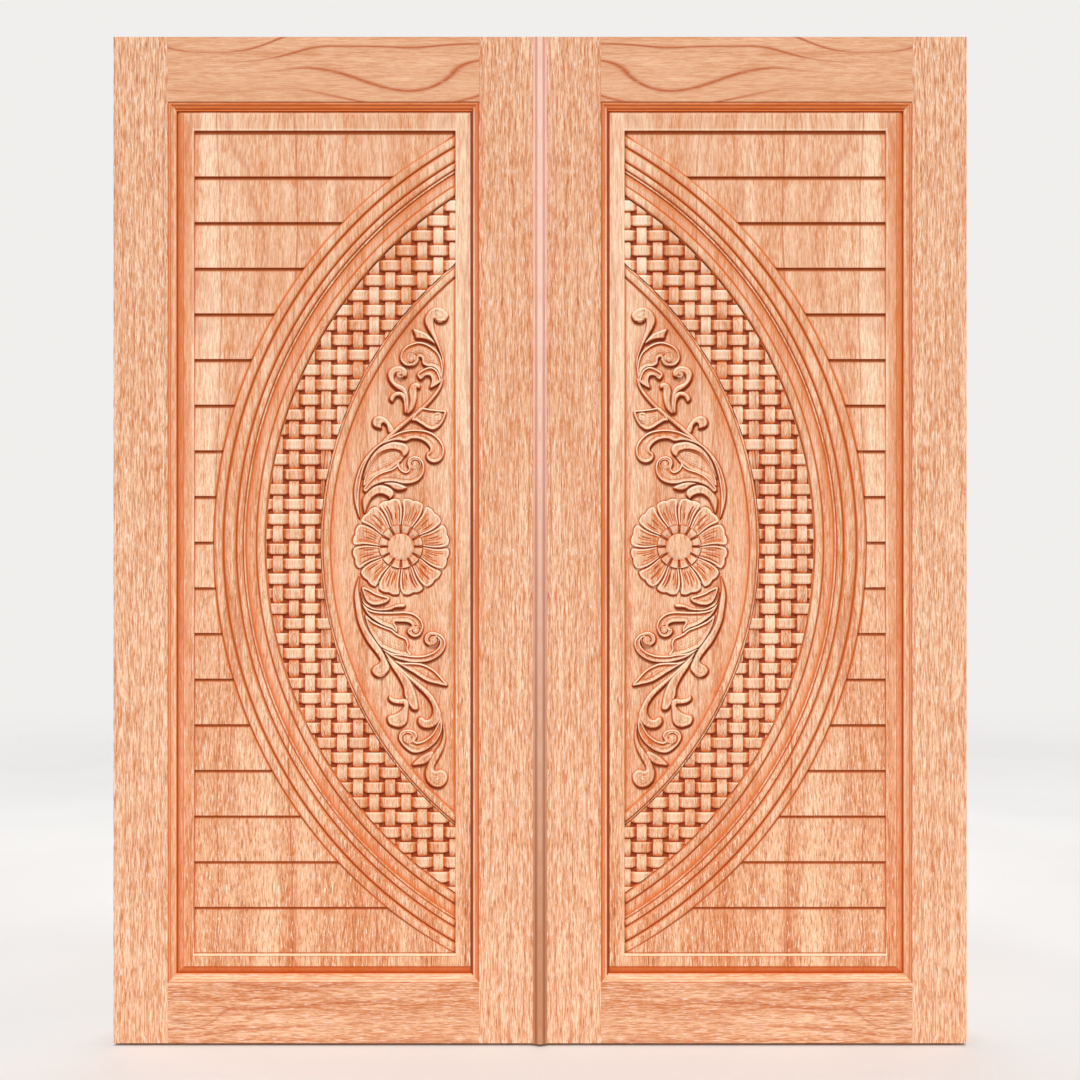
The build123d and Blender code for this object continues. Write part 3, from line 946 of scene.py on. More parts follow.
    def _board(self, relief: Relief) -> None:
        """Adds the board's back and edges, and the border's four sides from the tongue to the field.

        Args:
            relief: The surface that takes them.
        """
        front, back = self.board_depths
        outer = [-self.tongue] * 4
        border, field_edge = self.border_depth, list(self.plan.field_insets)
        high_share, high_drop = self.high_bevel
        rings = [(outer, back), (outer, front), ([self.edge] * 4, front)]
        for share, rise in self.low_bevel:
            rings.append(([self.edge + share * bevel for bevel in self.bevels], front - rise))
        rings.append(([self.edge + high_share * bevel for bevel in self.bevels], border + high_drop))
        for past, drop in self.brow:
            rings.append(([self.edge + bevel + past for bevel in self.bevels], border + drop))
        for past, drop in self.arris:
            rings.append(([inset + past for inset in field_edge], border + drop))
        rings.append((field_edge, self.floor_depth))
        corners = np.array([self._inset(insets) for insets, _ in rings])
        depth = np.array([[depth] for _, depth in rings])
        for start, (bevel_tints, flat) in enumerate(zip(self.bevel_tints, self.flat_tints)):
            pair = [start, (start + 1) % 4]
            flats = [flat + change for change in self.flat_changes]
            tint = np.array([self.tongue_tint] * 2 + [*bevel_tints, *flats, *self.edge_tints])[:, None]
            relief.grid(corners[:, pair, 0], depth, corners[:, pair, 1], tint)
        rear = np.array([(a, back, b) for a, b in self._inset(outer)])
        relief.patch(rear, [(3, 2, 1, 0)], np.zeros(4))

    def _foot_fillet(self, relief: Relief) -> None:
        """Adds the fillet along the foot of the field: a painted highlight between lines of painted shade.

        Args:
            relief: The surface that takes it.
        """
        p = self.plan
        rise, drop, tint = (column[:, None] for column in np.array(self.fillet).T)
        across = np.array([[p.field_left, p.field_right]])
        relief.grid(across, self.border_depth + drop, p.field_foot + rise, tint)

    def _slats(self, relief: Relief) -> None:
        """Adds the lapped slats, each ending under the fan's outer bead.

        Args:
            relief: The surface that takes them.
        """
        p = self.plan
        pitch = (p.field_top - p.field_foot) / self.slat_count
        nose_rise, nose_depth, nose_tint = np.array(self.nose).T
        foot_rise, foot_tint = np.array(self.slat_foot).T
        top_drop, top_tint = np.array(self.slat_top).T
        middle = np.linspace(0.0, 1.0, self.slat_middle + 2)[1:-1] * (pitch - self.slat_margin)
        rise = np.concatenate([nose_rise, foot_rise, foot_rise[-1] + middle, pitch - top_drop])
        depth = self.proud_depth + (self.sunk_depth - self.proud_depth) / pitch * rise
        depth[:len(nose_depth)] = nose_depth
        tint = np.concatenate([nose_tint, foot_tint, np.zeros_like(middle), top_tint])[:, None]
        start, start_tint = np.array(self.slat_start).T
        end, end_tint = np.array(self.slat_end).T
        shares = np.array([self.slat_shares])
        side = np.concatenate([start_tint, np.zeros(shares.size), end_tint])[None, :]
        for row in range(self.slat_count):
            heights = p.field_foot + row * pitch + rise
            ends = p.arc_x(p.fan_radius - self.slat_tuck, heights)[:, None]
            opening = np.minimum(p.field_left + start[None, :], ends)
            closing = np.maximum(ends - end[None, :], p.field_left)
            x = np.hstack([opening, p.field_left + (ends - p.field_left) * shares, closing])
            x = np.maximum.accumulate(np.minimum(x, ends), axis=1)
            relief.grid(x, depth[:, None], heights[:, None], np.maximum(tint, side))

    def _bead(self, bead: FanBead) -> np.ndarray:
        """Draws the section of one round bead.

        Args:
            bead: Its edges and valleys.

        Returns:
            Rows of radius, depth and relief.
        """
        radius = self.plan.fan_radius
        middle, half = radius - (bead.start + bead.end) / 2.0, (bead.end - bead.start) / 2.0
        step = np.arange(self.bead_steps + 1)
        turn = math.pi * step / self.bead_steps
        low = self.valley_depth + np.where(step < self.bead_steps // 2, *bead.drops)
        rise = np.sin(turn) ** self.bead_power
        away = np.abs(np.cos(turn))
        # Painted shade towards the bead's sides and a painted highlight along its crest
        shade = self.bead_shade * smooth((away - self.bead_shade_start) / (1.0 - self.bead_shade_start))
        tint = shade - self.bead_light * smooth(1.0 - away / self.bead_light_reach)
        depth = low + (self.crest_depth - low) * rise
        return np.column_stack([middle + half * np.cos(turn), depth, tint])

    def _fan_section(self) -> np.ndarray:
        """Draws the fan's section, from its outer wall to the half moon.

        Returns:
            Rows of radius, depth and relief.
        """
        rows = []
        for piece in self.fan:
            if isinstance(piece, FanBead):
                rows.append(self._bead(piece))
            else:
                radius, depth = self.plan.fan_radius - piece.inset, self.valley_depth + piece.drop
                rows.append(np.array([[radius, depth, piece.tint]]))
        return np.vstack(rows)

    def _fan(self, relief: Relief) -> None:
        """Adds the fan's swept bands and the flat half moon inside them.

        Args:
            relief: The surface that takes them.
        """
        p = self.plan
        radius, depth, tint = (column[None, :] for column in self._fan_section().T)
        share = np.linspace(-1.0, 1.0, self.arc_steps + 1)[:, None]
        angle = share * np.arccos((p.fan_x - p.field_right) / radius)
        x = p.fan_x - radius * np.cos(angle)
        z = np.clip(p.fan_z + radius * np.sin(angle), p.field_foot, p.field_top)
        # Painted shade where the beads end at the field's meeting side
        edge = smooth(1.0 - (p.field_right - x) / self.fan_end_reach)
        relief.grid(x, depth, z, np.maximum(tint, self.fan_end_shade * edge))
        inner = x[:, -1:]
        across = np.linspace(0.0, 1.0, self.moon_steps)[None, :]
        far = np.maximum(p.field_right - np.array([self.moon_end]), inner)
        flat_x = np.hstack([inner + (far[:, :1] - inner) * across, far[:, 1:]])
        relief.grid(flat_x, np.full((1, 1), self.moon_depth), z[:, -1:], np.array([self.moon_tints]))

    def build(self, side: Side, finish: bpy.types.Material) -> bpy.types.Object:
        """Makes the ground of one leaf's panel.

        Args:
            side: The leaf.
            finish: The panel's material.

        Returns:
            The new object, in place of the CAD panel.
        """
        relief = Relief(self.plan, self.lean)
        for add in (self._board, self._foot_fillet, self._slats, self._fan):
            add(relief)
        return relief.build_carving("panel_ground", side, finish)


@dataclass
class BasketWeave:
    """Upright and level strands that pass over and under each other inside the fan's wide band.

    Sections are rows of a place across the strand, a drop below its crest and relief: painted shade on the
    strands' sides and a painted shadow under each level strand's lower edge.
    """

    plan: LeafPlan
    outer_radius: float = 867.0
    inner_radius: float = 754.2
    pitch_across: float = 33.6
    pitch_up: float = 31.25
    leaf_width: float = 889.0
    start_across: float = 374.6
    start_up: float = 1218.5
    rows: tuple[int, int] = (-26, 40)
    columns: tuple[int, int] = (-4, 14)
    half_upright: float = 10.4
    half_level: float = 11.0
    crest: float = 9.3
    trough: float = 15.6
    swell_power: float = 0.62
    shortest: float = 2.0
    step: float = 2.6
    least_steps: int = 4
    # Painted shade as a strand dives below this depth, and a painted highlight on its crest
    tone_depth: float = 11.3
    tone_span: float = 3.8
    tone_limits: Point = (-0.4, 1.1)
    own_tone: float = 0.16
    own_shift: float = 0.04
    crease: float = 50.0
    # Painted shade on faces turned from the light, and painted highlight on faces turned to it
    lean: float = 0.3
    # The level strand's lower edge carries a painted shadow and its sides painted shade
    level_section: tuple[Triple, ...] = (
        (-1.24, 7.0, 1.0), (-1.2, 3.0, 1.1), (-0.98, 1.2, 1.1), (-0.86, 0.2, 0.1), (-0.5, 0.0, -0.15),
        (0.0, 0.0, 0.0), (0.6, 0.1, 0.0), (0.9, 0.5, -0.25), (1.0, 1.4, 0.1), (1.0, 6.0, 0.6),
    )
    upright_section: tuple[Triple, ...] = (
        (-1.0, 6.0, 0.75), (-1.0, 1.4, 0.5), (-0.9, 0.4, -0.1), (-0.6, 0.1, -0.1), (0.0, 0.0, 0.0),
        (0.6, 0.1, 0.0), (0.9, 0.4, 0.0), (1.0, 1.4, 0.5), (1.0, 6.0, 0.75),
    )

    def _swing(self, place: np.ndarray, centre: float, pitch: float) -> np.ndarray:
        """Swings a strand over and under its neighbours.

        Args:
            place: Places along the strand.
            centre: A place where it crests.
            pitch: Distance between neighbours.

        Returns:
            Its depth at each place.
        """
        wave = np.cos(math.pi * (place - centre) / pitch)
        swell = np.sign(wave) * np.abs(wave) ** self.swell_power
        return (self.crest + self.trough) / 2.0 - swell * (self.trough - self.crest) / 2.0

    def _tint(self, depth: np.ndarray, extra: np.ndarray, cell: np.ndarray, strand: int) -> np.ndarray:
        """Tints a strand: a painted highlight on its crest, painted shade where it dives, and each crossing a
        little apart.

        Args:
            depth: Its depths.
            extra: Relief of its section.
            cell: Number of the crossing at each place.
            strand: Number of the strand.

        Returns:
            Its relief.
        """
        own = self.own_tone * np.sin(cell * 12.9 + strand * 7.7) + self.own_shift
        return np.clip((depth - self.tone_depth) / self.tone_span, *self.tone_limits) + extra + own

    def _shares(self, longest: float) -> np.ndarray:
        """Divides a strand into even steps from 0 to 1, by the length of its longest edge."""
        return np.linspace(0.0, 1.0, max(int(longest / self.step), self.least_steps) + 1)

    def _level_strand(self, relief: Relief, row: int) -> None:
        """Adds one level strand between the two rims of the band.

        Args:
            relief: The surface that takes it.
            row: Its number, counted down.
        """
        p = self.plan
        place, drop, extra = np.array(self.level_section).T
        z = p.foot + self.start_up - self.pitch_up * row + place * self.half_level
        low = p.arc_x(self.outer_radius, z)
        high = np.maximum(p.arc_x(self.inner_radius, z), low)
        longest = float((high - low).max())
        if longest < self.shortest:
            return
        x = low[:, None] + (high - low)[:, None] * self._shares(longest)[None, :]
        first = p.inner - self.leaf_width + self.start_across + self.pitch_across * ((row + 1) % 2)
        depth = self._swing(x, first, self.pitch_across)
        tint = self._tint(depth, extra[:, None], np.round((x - first) / self.pitch_across), row)
        relief.grid(x, depth + drop[:, None], z[:, None], tint)

    def _upright_strand(self, relief: Relief, column: int) -> None:
        """Adds one upright strand, above and below the fan's middle.

        Args:
            relief: The surface that takes it.
            column: Its number, counted to the meeting side.
        """
        p = self.plan
        place, drop, extra = np.array(self.upright_section).T
        x = p.inner - self.leaf_width + self.start_across + self.pitch_across * column
        x = np.minimum(x + place * self.half_upright, p.field_right)
        reach = p.fan_x - x
        outer = np.sqrt(np.maximum(self.outer_radius**2 - reach**2, 0.0))
        inner = np.sqrt(np.maximum(self.inner_radius**2 - reach**2, 0.0))
        longest = float((outer - inner).max())
        if longest < self.shortest:
            return
        first = p.foot + self.start_up - self.pitch_up * (column % 2)
        share = self._shares(longest)[:, None]
        for sign in (1.0, -1.0):
            z = p.fan_z + sign * (inner + (outer - inner) * share)
            depth = self._swing(z, first, self.pitch_up)
            tint = self._tint(depth, extra[None, :], np.round((z - first) / self.pitch_up), column)
            relief.grid(x[None, :], depth + drop[None, :], z, tint, flip=sign < 0.0)

    def build(self, side: Side, finish: bpy.types.Material) -> bpy.types.Object:
        """Weaves the band of one leaf.

        Args:
            side: The leaf.
            finish: The panel's material.

        Returns:
            The new object, in place of the CAD panel.
        """
        relief = Relief(self.plan, self.lean)
        for row in range(*self.rows):
            self._level_strand(relief, row)
        for column in range(*self.columns):
            self._upright_strand(relief, column)
        return relief.build_carving("basket_weave", side, finish, self.crease)


@dataclass
class Rosette:
    """The open flower: cupped petals round a ring of short petals and a smooth eye."""

    plan: LeafPlan
    inset: float = 113.6
    drop: float = 3.5
    petals: int = 12
    radius: float = 99.0
    ring_radius: float = 45.0
    eye_radius: float = 27.0
    ground_depth: float = 14.5
    steps_round: int = 504
    vein_shares: tuple[float, ...] = (0.27, 0.38, 0.55, 0.69)
    swirl: float = 0.05
    # Painted highlight on the petals' rims, painted shade at their foot, and painted shade by the ring on the
    # side away from the light
    rim_light: float = 0.9
    foot_shade: float = 0.5
    ring_shade: float = 1.1
    ring_shade_reach: float = 0.07
    heart_start: float = 6.0
    heart_steps: tuple[int, int] = (4, 10)
    petal_span: Point = (0.02, 0.86)
    petal_steps: int = 16
    petal_end: tuple[float, ...] = (0.90, 0.94, 0.97, 0.99, 1.0)
    # Distance past the petals' edge, what the shade adds to it, relief, and what the shade adds to that: a
    # painted shadow on the ground, wider and darker away from the light
    skirt: tuple[Four, ...] = (
        (0.3, 0.0, 0.5, 0.6), (0.6, 0.0, 0.55, 0.6), (2.2, 2.4, 0.2, 0.85), (5.0, 4.0, 0.0, 0.0),
    )
    skirt_start: float = 0.4
    skirt_heights: Triple = (0.0, 0.08, -0.1)
    tint_limits: Point = (-1.0, 1.2)
    crease: float = 60.0
    # Painted shade on faces turned from the light, and painted highlight on faces turned to it
    lean: float = 0.75

    def _edge(self, across: np.ndarray) -> np.ndarray:
        """Outer radius of a petal across its width, where across is 0 at its middle and 1 at its sides."""
        lobes = 2.4 * np.sin(np.pi * np.clip(across / 0.86, 0.0, 1.0))
        return self.radius - 0.6 + lobes - 10.0 * smooth((across - 0.8) / 0.2) ** 1.2

    def _petal(
        self, share: np.ndarray, turn: np.ndarray, number: np.ndarray
    ) -> tuple[np.ndarray, np.ndarray]:
        """Height and relief of the long petals.

        Args:
            share: 0 at the ring and 1 at the petal's end.
            turn: Place across the petal, from 0 to 1.
            number: The petal's number, which sets its veins apart from its neighbours'.

        Returns:
            Height above the ground and relief.
        """
        across = np.abs(2.0 * turn - 1.0)
        height = 3.2 + 5.2 * share**0.9 + 1.2 * across**2 * (1.0 - 0.4 * share)
        height -= 2.6 * smooth((share - 0.9) / 0.1) ** 1.5
        parting = smooth((across - 0.88) / 0.08)
        crease = smooth(1.0 - np.abs(across - 0.66) / 0.13)
        crease = crease * smooth((share - 0.03) / 0.1) * smooth((0.9 - share) / 0.2)
        height -= (3.2 + 2.2 * share) * parting + 1.2 * crease
        rim = smooth(1.0 - np.abs(across - 0.8) / 0.11)
        # Painted shade in the partings, creases and veins, and a painted highlight on the rims
        tint = 1.2 * parting + (0.95 + 0.4 * np.sin(number * 4.1)) * crease - 1.1 * rim * (1.0 - parting)
        for order, vein in enumerate(self.vein_shares):
            own = np.sin(number * 5.3 + order * 2.9)
            near = 1.0 - np.abs(turn - vein - 0.03 * own) / 0.066
            start, end = 0.1 + 0.1 * own, 0.74 - 0.17 * np.cos(number * 3.1 + order * 4.7)
            groove = smooth(near) * smooth((share - start) / 0.1) * smooth((end - share) / 0.16)
            height -= 1.2 * groove
            tint += (1.0 + 0.3 * own) * groove
        # Painted shade in the petal's cup near the ring and at its foot, and a painted highlight at its tip
        hollow_shade = 0.12 * smooth((0.5 - share) / 0.4) * (1.0 - across)
        tint += hollow_shade - self.rim_light * smooth((share - 0.91) / 0.05) - 0.1
        tint += self.foot_shade * smooth((0.1 - share) / 0.1)
        return height, tint

    def _heart(
        self, radius: np.ndarray, turn: np.ndarray, facing: np.ndarray
    ) -> tuple[np.ndarray, np.ndarray]:
        """Height and relief of the ring and the eye.

        Args:
            radius: Distance from the flower's centre.
            turn: Place across a short petal, from 0 to 1.
            facing: 1 on the side of the flower that looks to the light, and 0 on the other.

        Returns:
            Height above the ground and relief.
        """
        across = np.abs(2.0 * turn - 1.0)
        ring = (radius - self.eye_radius) / (self.ring_radius - self.eye_radius)
        cup = 4.6 + 4.0 * smooth(ring) + 0.6 * np.cos(across * np.pi / 2.0)
        parting = smooth((across - 0.62) / 0.2) * smooth((ring - 0.02) / 0.1)
        gap = smooth(1.0 - np.abs(radius - self.eye_radius - 1.2) / 2.2)
        dome = 4.6 + 1.2 * np.sqrt(np.clip(1.0 - (radius / self.eye_radius) ** 2, 0.0, 1.0))
        height = np.where(radius > self.eye_radius, cup - 3.6 * parting, dome) - 2.2 * gap
        # Painted shade in the partings and in the gap round the eye, strongest on the side towards the light,
        # where the ring's inner wall looks away from it
        tint = np.where(radius > self.eye_radius, 1.0 * parting - 0.3 * smooth(ring) + 0.12, -0.05)
        return height, tint + gap * (0.25 + 0.85 * facing)

    def build(self, side: Side, finish: bpy.types.Material) -> bpy.types.Object:
        """Carves the flower of one leaf.

        Args:
            side: The leaf.
            finish: The panel's material.

        Returns:
            The new object, in place of the CAD panel.
        """
        p = self.plan
        angle = np.linspace(0.0, math.tau, self.steps_round + 1)[:, None]
        turn = (angle / math.tau * self.petals) % 1.0
        number = np.floor(angle / math.tau * self.petals)
        # Painted shade on the side of the flower away from the light
        facing = 0.5 + 0.5 * (LIGHT_WAY[0] * np.sin(angle) + LIGHT_WAY[1] * np.cos(angle))
        shade = 1.0 - facing
        edge = self._edge(np.abs(2.0 * turn - 1.0))
        eye = np.linspace(self.heart_start, self.eye_radius - 1.0, self.heart_steps[0])
        ring = np.linspace(self.eye_radius, self.ring_radius, self.heart_steps[1])
        inner = np.concatenate([[0.0], eye, ring])[None, :] + 0.0 * angle
        heart_height, heart_tint = self._heart(inner, turn + 0.0 * inner, facing)
        body = np.linspace(*self.petal_span, self.petal_steps)
        share = np.concatenate([[0.0], body, self.petal_end])[None, :] + 0.0 * angle
        petal_height, petal_tint = self._petal(share, turn + 0.0 * share, number)
        near = smooth((self.ring_shade_reach - share) / self.ring_shade_reach)
        petal_tint = petal_tint + self.ring_shade * shade * near
        past, more_past, tone, more_tone = (column[None, :] for column in np.array(self.skirt).T)
        low = np.array([self.skirt_heights]) + 0.0 * edge
        petal_radius = self.ring_radius + (edge - self.ring_radius) * share
        radius = np.hstack([inner, petal_radius, edge + past + more_past * shade])
        height = np.hstack([heart_height, petal_height, self.skirt_start * petal_height[:, -1:], low])
        tint = np.hstack([heart_tint, petal_tint, tone + more_tone * shade])
        along = np.clip((radius - self.ring_radius) / (self.radius - self.ring_radius), 0.0, 1.0)
        angle = angle + self.swirl * np.sin(math.pi * along)
        x = np.minimum(p.field_right - self.inset + radius * np.sin(angle), p.field_right)
        z = p.fan_z - self.drop + radius * np.cos(angle)
        relief = Relief(p, self.lean)
        relief.grid(x, self.ground_depth - height, z, np.clip(tint, *self.tint_limits))
        return relief.build_carving("rosette", side, finish, self.crease)


class LeafForm(Enum):
    """How a piece of the scroll work is carved across."""

    STEM = "stem"
    BLADE = "blade"


# Relief of each form at distances from its edge, painted highlight below 0 and painted shade above, first on
# edges that look to the light, then on the others
LEAF_LIGHT_TINTS: dict[LeafForm, tuple[tuple[Point, ...], tuple[Point, ...]]] = {
    LeafForm.BLADE: (
        (
            (0.0, 0.5), (0.9, -0.7), (2.5, -0.85), (3.2, 0.3),
            (3.9, 1.15), (5.0, 0.85), (7.5, 0.3), (15.0, -0.1),
        ),
        ((0.0, 1.1), (1.0, 0.6), (1.9, -0.6), (3.2, -0.75), (4.6, -0.25), (7.0, 0.0), (15.0, -0.1)),
    ),
    LeafForm.STEM: (
        ((0.0, 0.5), (1.0, -0.6), (3.8, -0.75), (6.0, -0.3), (9.0, -0.15)),
        ((0.0, 1.15), (1.4, 0.9), (2.8, 0.3), (4.6, -0.15), (9.0, -0.15)),
    ),
}


@dataclass(frozen=True)
class ScrollLeaf:
    """One carved leaf or curl: its outline in millimetres from the rosette's centre, and its form."""

    outline: tuple[Point, ...]
    form: LeafForm = LeafForm.BLADE
    height: float = 8.4
    rim_lines: tuple[float, ...] = (0.9, 1.8, 2.6, 3.3, 4.0, 5.0, 6.4)
    dish_edge: float = 2.6
    dish_swell: float = 9.0
    veins: Triple = (5.6, 10.4, 15.2)
    vein_width: float = 1.7
    ridge_shift: float = 2.4

    @property
    def rim(self) -> float:
        """Width of the rounded rim."""
        return 3.2 if self.form is LeafForm.BLADE else 3.8

    @property
    def dish(self) -> float:
        """How far the face is cut down inside the rim."""
        return 4.4 if self.form is LeafForm.BLADE else 1.0

    def section(self, away: np.ndarray, facing: np.ndarray) -> tuple[np.ndarray, np.ndarray]:
        """Height and relief at distances from the leaf's edge.

        Args:
            away: Distances from the edge in millimetres.
            facing: 1 where the nearest edge looks to the light, and 0 where it looks away.

        Returns:
            Height above the ground and relief.
        """
        inner = away - self.rim
        rise = np.sqrt(np.clip(1.0 - (1.0 - np.clip(away / self.rim, 0.0, 1.0)) ** 2, 0.0, 1.0))
        drop, swell = smooth(inner / self.dish_edge), smooth((inner - self.dish_edge) / self.dish_swell)
        height = self.height * (0.5 + 0.5 * rise) - self.dish * (drop - 0.6 * swell)
        # Painted highlight on edges that look to the light and painted shade on the others, blended by the
        # nearest edge
        lit, shaded = (np.interp(away, *zip(*tones)) for tones in LEAF_LIGHT_TINTS[self.form])
        tint = shaded + (lit - shaded) * facing
        for vein in self.veins:
            groove = smooth(1.0 - np.abs(inner - vein) / self.vein_width)
            ridge = smooth(1.0 - np.abs(inner - vein - self.ridge_shift) / self.vein_width)
            height += 0.5 * ridge - 0.8 * groove
            # Painted shade in each vein's groove and a painted highlight on the ridge beside it
            tint += 0.42 * groove - 0.34 * ridge
        return height, tint


@dataclass(frozen=True)
class CurlEye:
    """The pearl at a curl's end and the groove that winds in to it, placed from the rosette's centre.

    The groove starts at an angle clockwise from the top, and turns clockwise where hand is 1.
    """

    right: float
    up: float
    radius: float
    start: float
    hand: float = 1.0


@dataclass
class ScrollWork:
    """The leaves and curls above and below the rosette."""

    plan: LeafPlan
    inset: float = 113.6
    drop: float = 3.5
    ground_depth: float = 14.5
    boundary_step: float = 1.8
    inside_step: float = 1.8
    # Painted shade on faces turned from the light, and painted highlight on faces turned to it
    lean: float = 0.35
    leaves: dict[str, ScrollLeaf] = field(default_factory=lambda: dict(SCROLL_LEAVES))
    eyes: tuple[CurlEye, ...] = (
        CurlEye(22, 393, 14.0, 100.0, -1.0), CurlEye(82, 483, 13.0, 225.0),
        CurlEye(29, 172, 12.5, 230.0, -1.0), CurlEye(-1, 363, 9.0, 225.0),
        CurlEye(77, 270, 10.0, 45.0), CurlEye(-44, -260, 12.0, 20.0),
        CurlEye(66, -195, 13.0, 210.0, -1.0), CurlEye(30, -175, 11.5, 300.0),
        CurlEye(15, -401, 14.5, 120.0), CurlEye(79, -484, 13.5, 315.0, -1.0),
        CurlEye(2, -362, 9.0, 270.0, -1.0),
    )
    lift_step: float = 0.12
    lift_count: int = 5
    # Reach from a leaf's edge, relief, and what the shade adds to that: a painted shadow on the ground round
    # a leaf, wider and darker away from the light
    wall: tuple[Triple, ...] = (
        (0.0, 0.4, 0.6), (0.2, 0.65, 0.55), (0.5, 0.7, 0.5), (2.6, 0.2, 0.8), (6.4, 0.0, 0.1),
    )
    eye_rings: int = 15
    eye_skirt: float = 1.1
    eye_steps: int = 48
    eye_height: float = 7.8
    eye_foot: float = 5.0
    crease: float = 55.0

    def _smooth_outline(self, outline: Sequence[Point]) -> np.ndarray:
        """Runs a smooth closed curve through an outline's points, at even steps.

        Args:
            outline: Points in order.

        Returns:
            Points along the curve.
        """
        points = np.array(outline, float)
        before, after, beyond = np.roll(points, 1, 0), np.roll(points, -1, 0), np.roll(points, -2, 0)
        share = np.linspace(0.0, 1.0, 9)[:-1][None, :, None]
        a, b, c, d = (value[:, None, :] for value in (before, points, after, beyond))
        curve = 0.5 * (2.0 * b + (c - a) * share + (2.0 * a - 5.0 * b + 4.0 * c - d) * share**2
                       + (3.0 * b - a - 3.0 * c + d) * share**3)
        line = curve.reshape(-1, 2)
        closed = np.vstack([line, line[:1]])
        run = np.concatenate([[0.0], np.cumsum(np.linalg.norm(np.diff(closed, axis=0), axis=1))])
        count = max(int(run[-1] / self.boundary_step), 12)
        marks = np.linspace(0.0, run[-1], count + 1)[:-1]
        return np.column_stack([np.interp(marks, run, closed[:, axis]) for axis in (0, 1)])

    @staticmethod
    def _to_edge(points: np.ndarray, line: np.ndarray) -> tuple[np.ndarray, np.ndarray]:
        """Finds how far points are from a closed line.

        Args:
            points: The points.
            line: The closed line.

        Returns:
            Each point's distance, and the number of the line's nearest piece.
        """
        ends = np.roll(line, -1, 0)
        way = ends - line
        length = np.maximum((way**2).sum(1), 1e-9)
        share = np.clip(((points[:, None, :] - line[None]) * way[None]).sum(2) / length, 0.0, 1.0)
        nearest = line[None] + share[:, :, None] * way[None]
        distance = np.linalg.norm(points[:, None, :] - nearest, axis=2)
        return distance.min(1), distance.argmin(1)

    def _leaf(self, relief: Relief, leaf: ScrollLeaf, lift: float) -> None:
        """Adds one leaf: walls up from the ground, a rounded rim and a hollowed middle.

        Args:
            relief: The surface that takes it.
            leaf: Its outline and form.
            lift: Height added so that it lies over its neighbours.
        """
        p = self.plan
        line = self._smooth_outline(leaf.outline)
        outward, _ = self._outward(line)
        low, high = line.min(0), line.max(0)
        step = self.inside_step
        columns = np.arange(low[0], high[0], step)
        rows = np.arange(low[1], high[1], step * 0.866)
        x, z = np.meshgrid(columns, rows)
        x = x + (np.arange(len(rows)) % 2)[:, None] * step / 2.0
        layers = [(line - outward * reach, 0.92 * reach) for reach in leaf.rim_lines]
        layers.append((np.column_stack([x.ravel(), z.ravel()]), leaf.rim_lines[-1] + 0.5 * step))
        flat = [line]
        for points, gap in layers:
            points = points[self._inside(points, line)]
            flat.append(points[self._to_edge(points, line)[0] > gap])
        made = geometry.delaunay_2d_cdt([Vector(point) for point in np.vstack(flat)], [],
                                        [list(range(len(line)))], 1, 1e-5)
        places = np.array([tuple(point) for point in made[0]])
        away, piece = self._to_edge(places, line)
        height, tint = leaf.section(away, self._facing(outward)[piece])
        centre = np.array([p.field_right - self.inset, p.fan_z - self.drop])
        world = places + centre
        points = np.column_stack([world[:, 0], self.ground_depth - height - lift, world[:, 1]])
        faces = [tuple(face) for face in made[2]]
        relief.patch(points, self._front(faces, places), tint)
        self._wall(relief, line + centre, float(leaf.section(np.zeros(1), np.zeros(1))[0][0]) + lift, lift)

    @staticmethod
    def _facing(outward: np.ndarray) -> np.ndarray:
        """Tells how far each way out looks to the light, from 0 to 1."""
        return 0.5 + 0.5 * (outward * np.array(LIGHT_WAY)).sum(1)

    @staticmethod
    def _inside(points: np.ndarray, line: np.ndarray) -> np.ndarray:
        """Tells which points lie inside a closed line.

        Args:
            points: The points.
            line: The closed line.

        Returns:
            True for each point inside.
        """
        ends = np.roll(line, -1, 0)
        passed = (line[None, :, 1] > points[:, 1:]) != (ends[None, :, 1] > points[:, 1:])
        rise = ends[:, 1] - line[:, 1]
        slope = (ends[:, 0] - line[:, 0]) / np.where(rise == 0.0, 1e-9, rise)
        cross = line[None, :, 0] + (points[:, 1:] - line[None, :, 1]) * slope[None]
        return ((passed & (points[:, :1] < cross)).sum(1) % 2) == 1

    @staticmethod
    def _outward(line: np.ndarray) -> tuple[np.ndarray, float]:
        """Finds the way out of a closed line at each of its points.

        Args:
            line: The closed line.

        Returns:
            Unit vectors outwards, and twice the area, which is above 0 where the line runs anticlockwise.
        """
        ends, starts = np.roll(line, -1, 0), np.roll(line, 1, 0)
        area = float((line[:, 0] * ends[:, 1] - ends[:, 0] * line[:, 1]).sum())
        way = ends - starts
        way = way / np.maximum(np.linalg.norm(way, axis=1, keepdims=True), 1e-6)
        return np.column_stack([way[:, 1], -way[:, 0]]) * math.copysign(1.0, area), area

    @staticmethod
    def _front(faces: Iterable[Sequence[int]], places: np.ndarray) -> list[tuple[int, ...]]:
        """Turns each face so that it looks to the front.

        Args:
            faces: The faces.
            places: Their points, across and up.

        Returns:
            The turned faces.
        """
        turned = []
        for face in faces:
            a, b, c = (places[index] for index in face[:3])
            area = (b[0] - a[0]) * (c[1] - a[1]) - (b[1] - a[1]) * (c[0] - a[0])
            turned.append(tuple(face) if area > 0.0 else tuple(reversed(face)))
        return turned

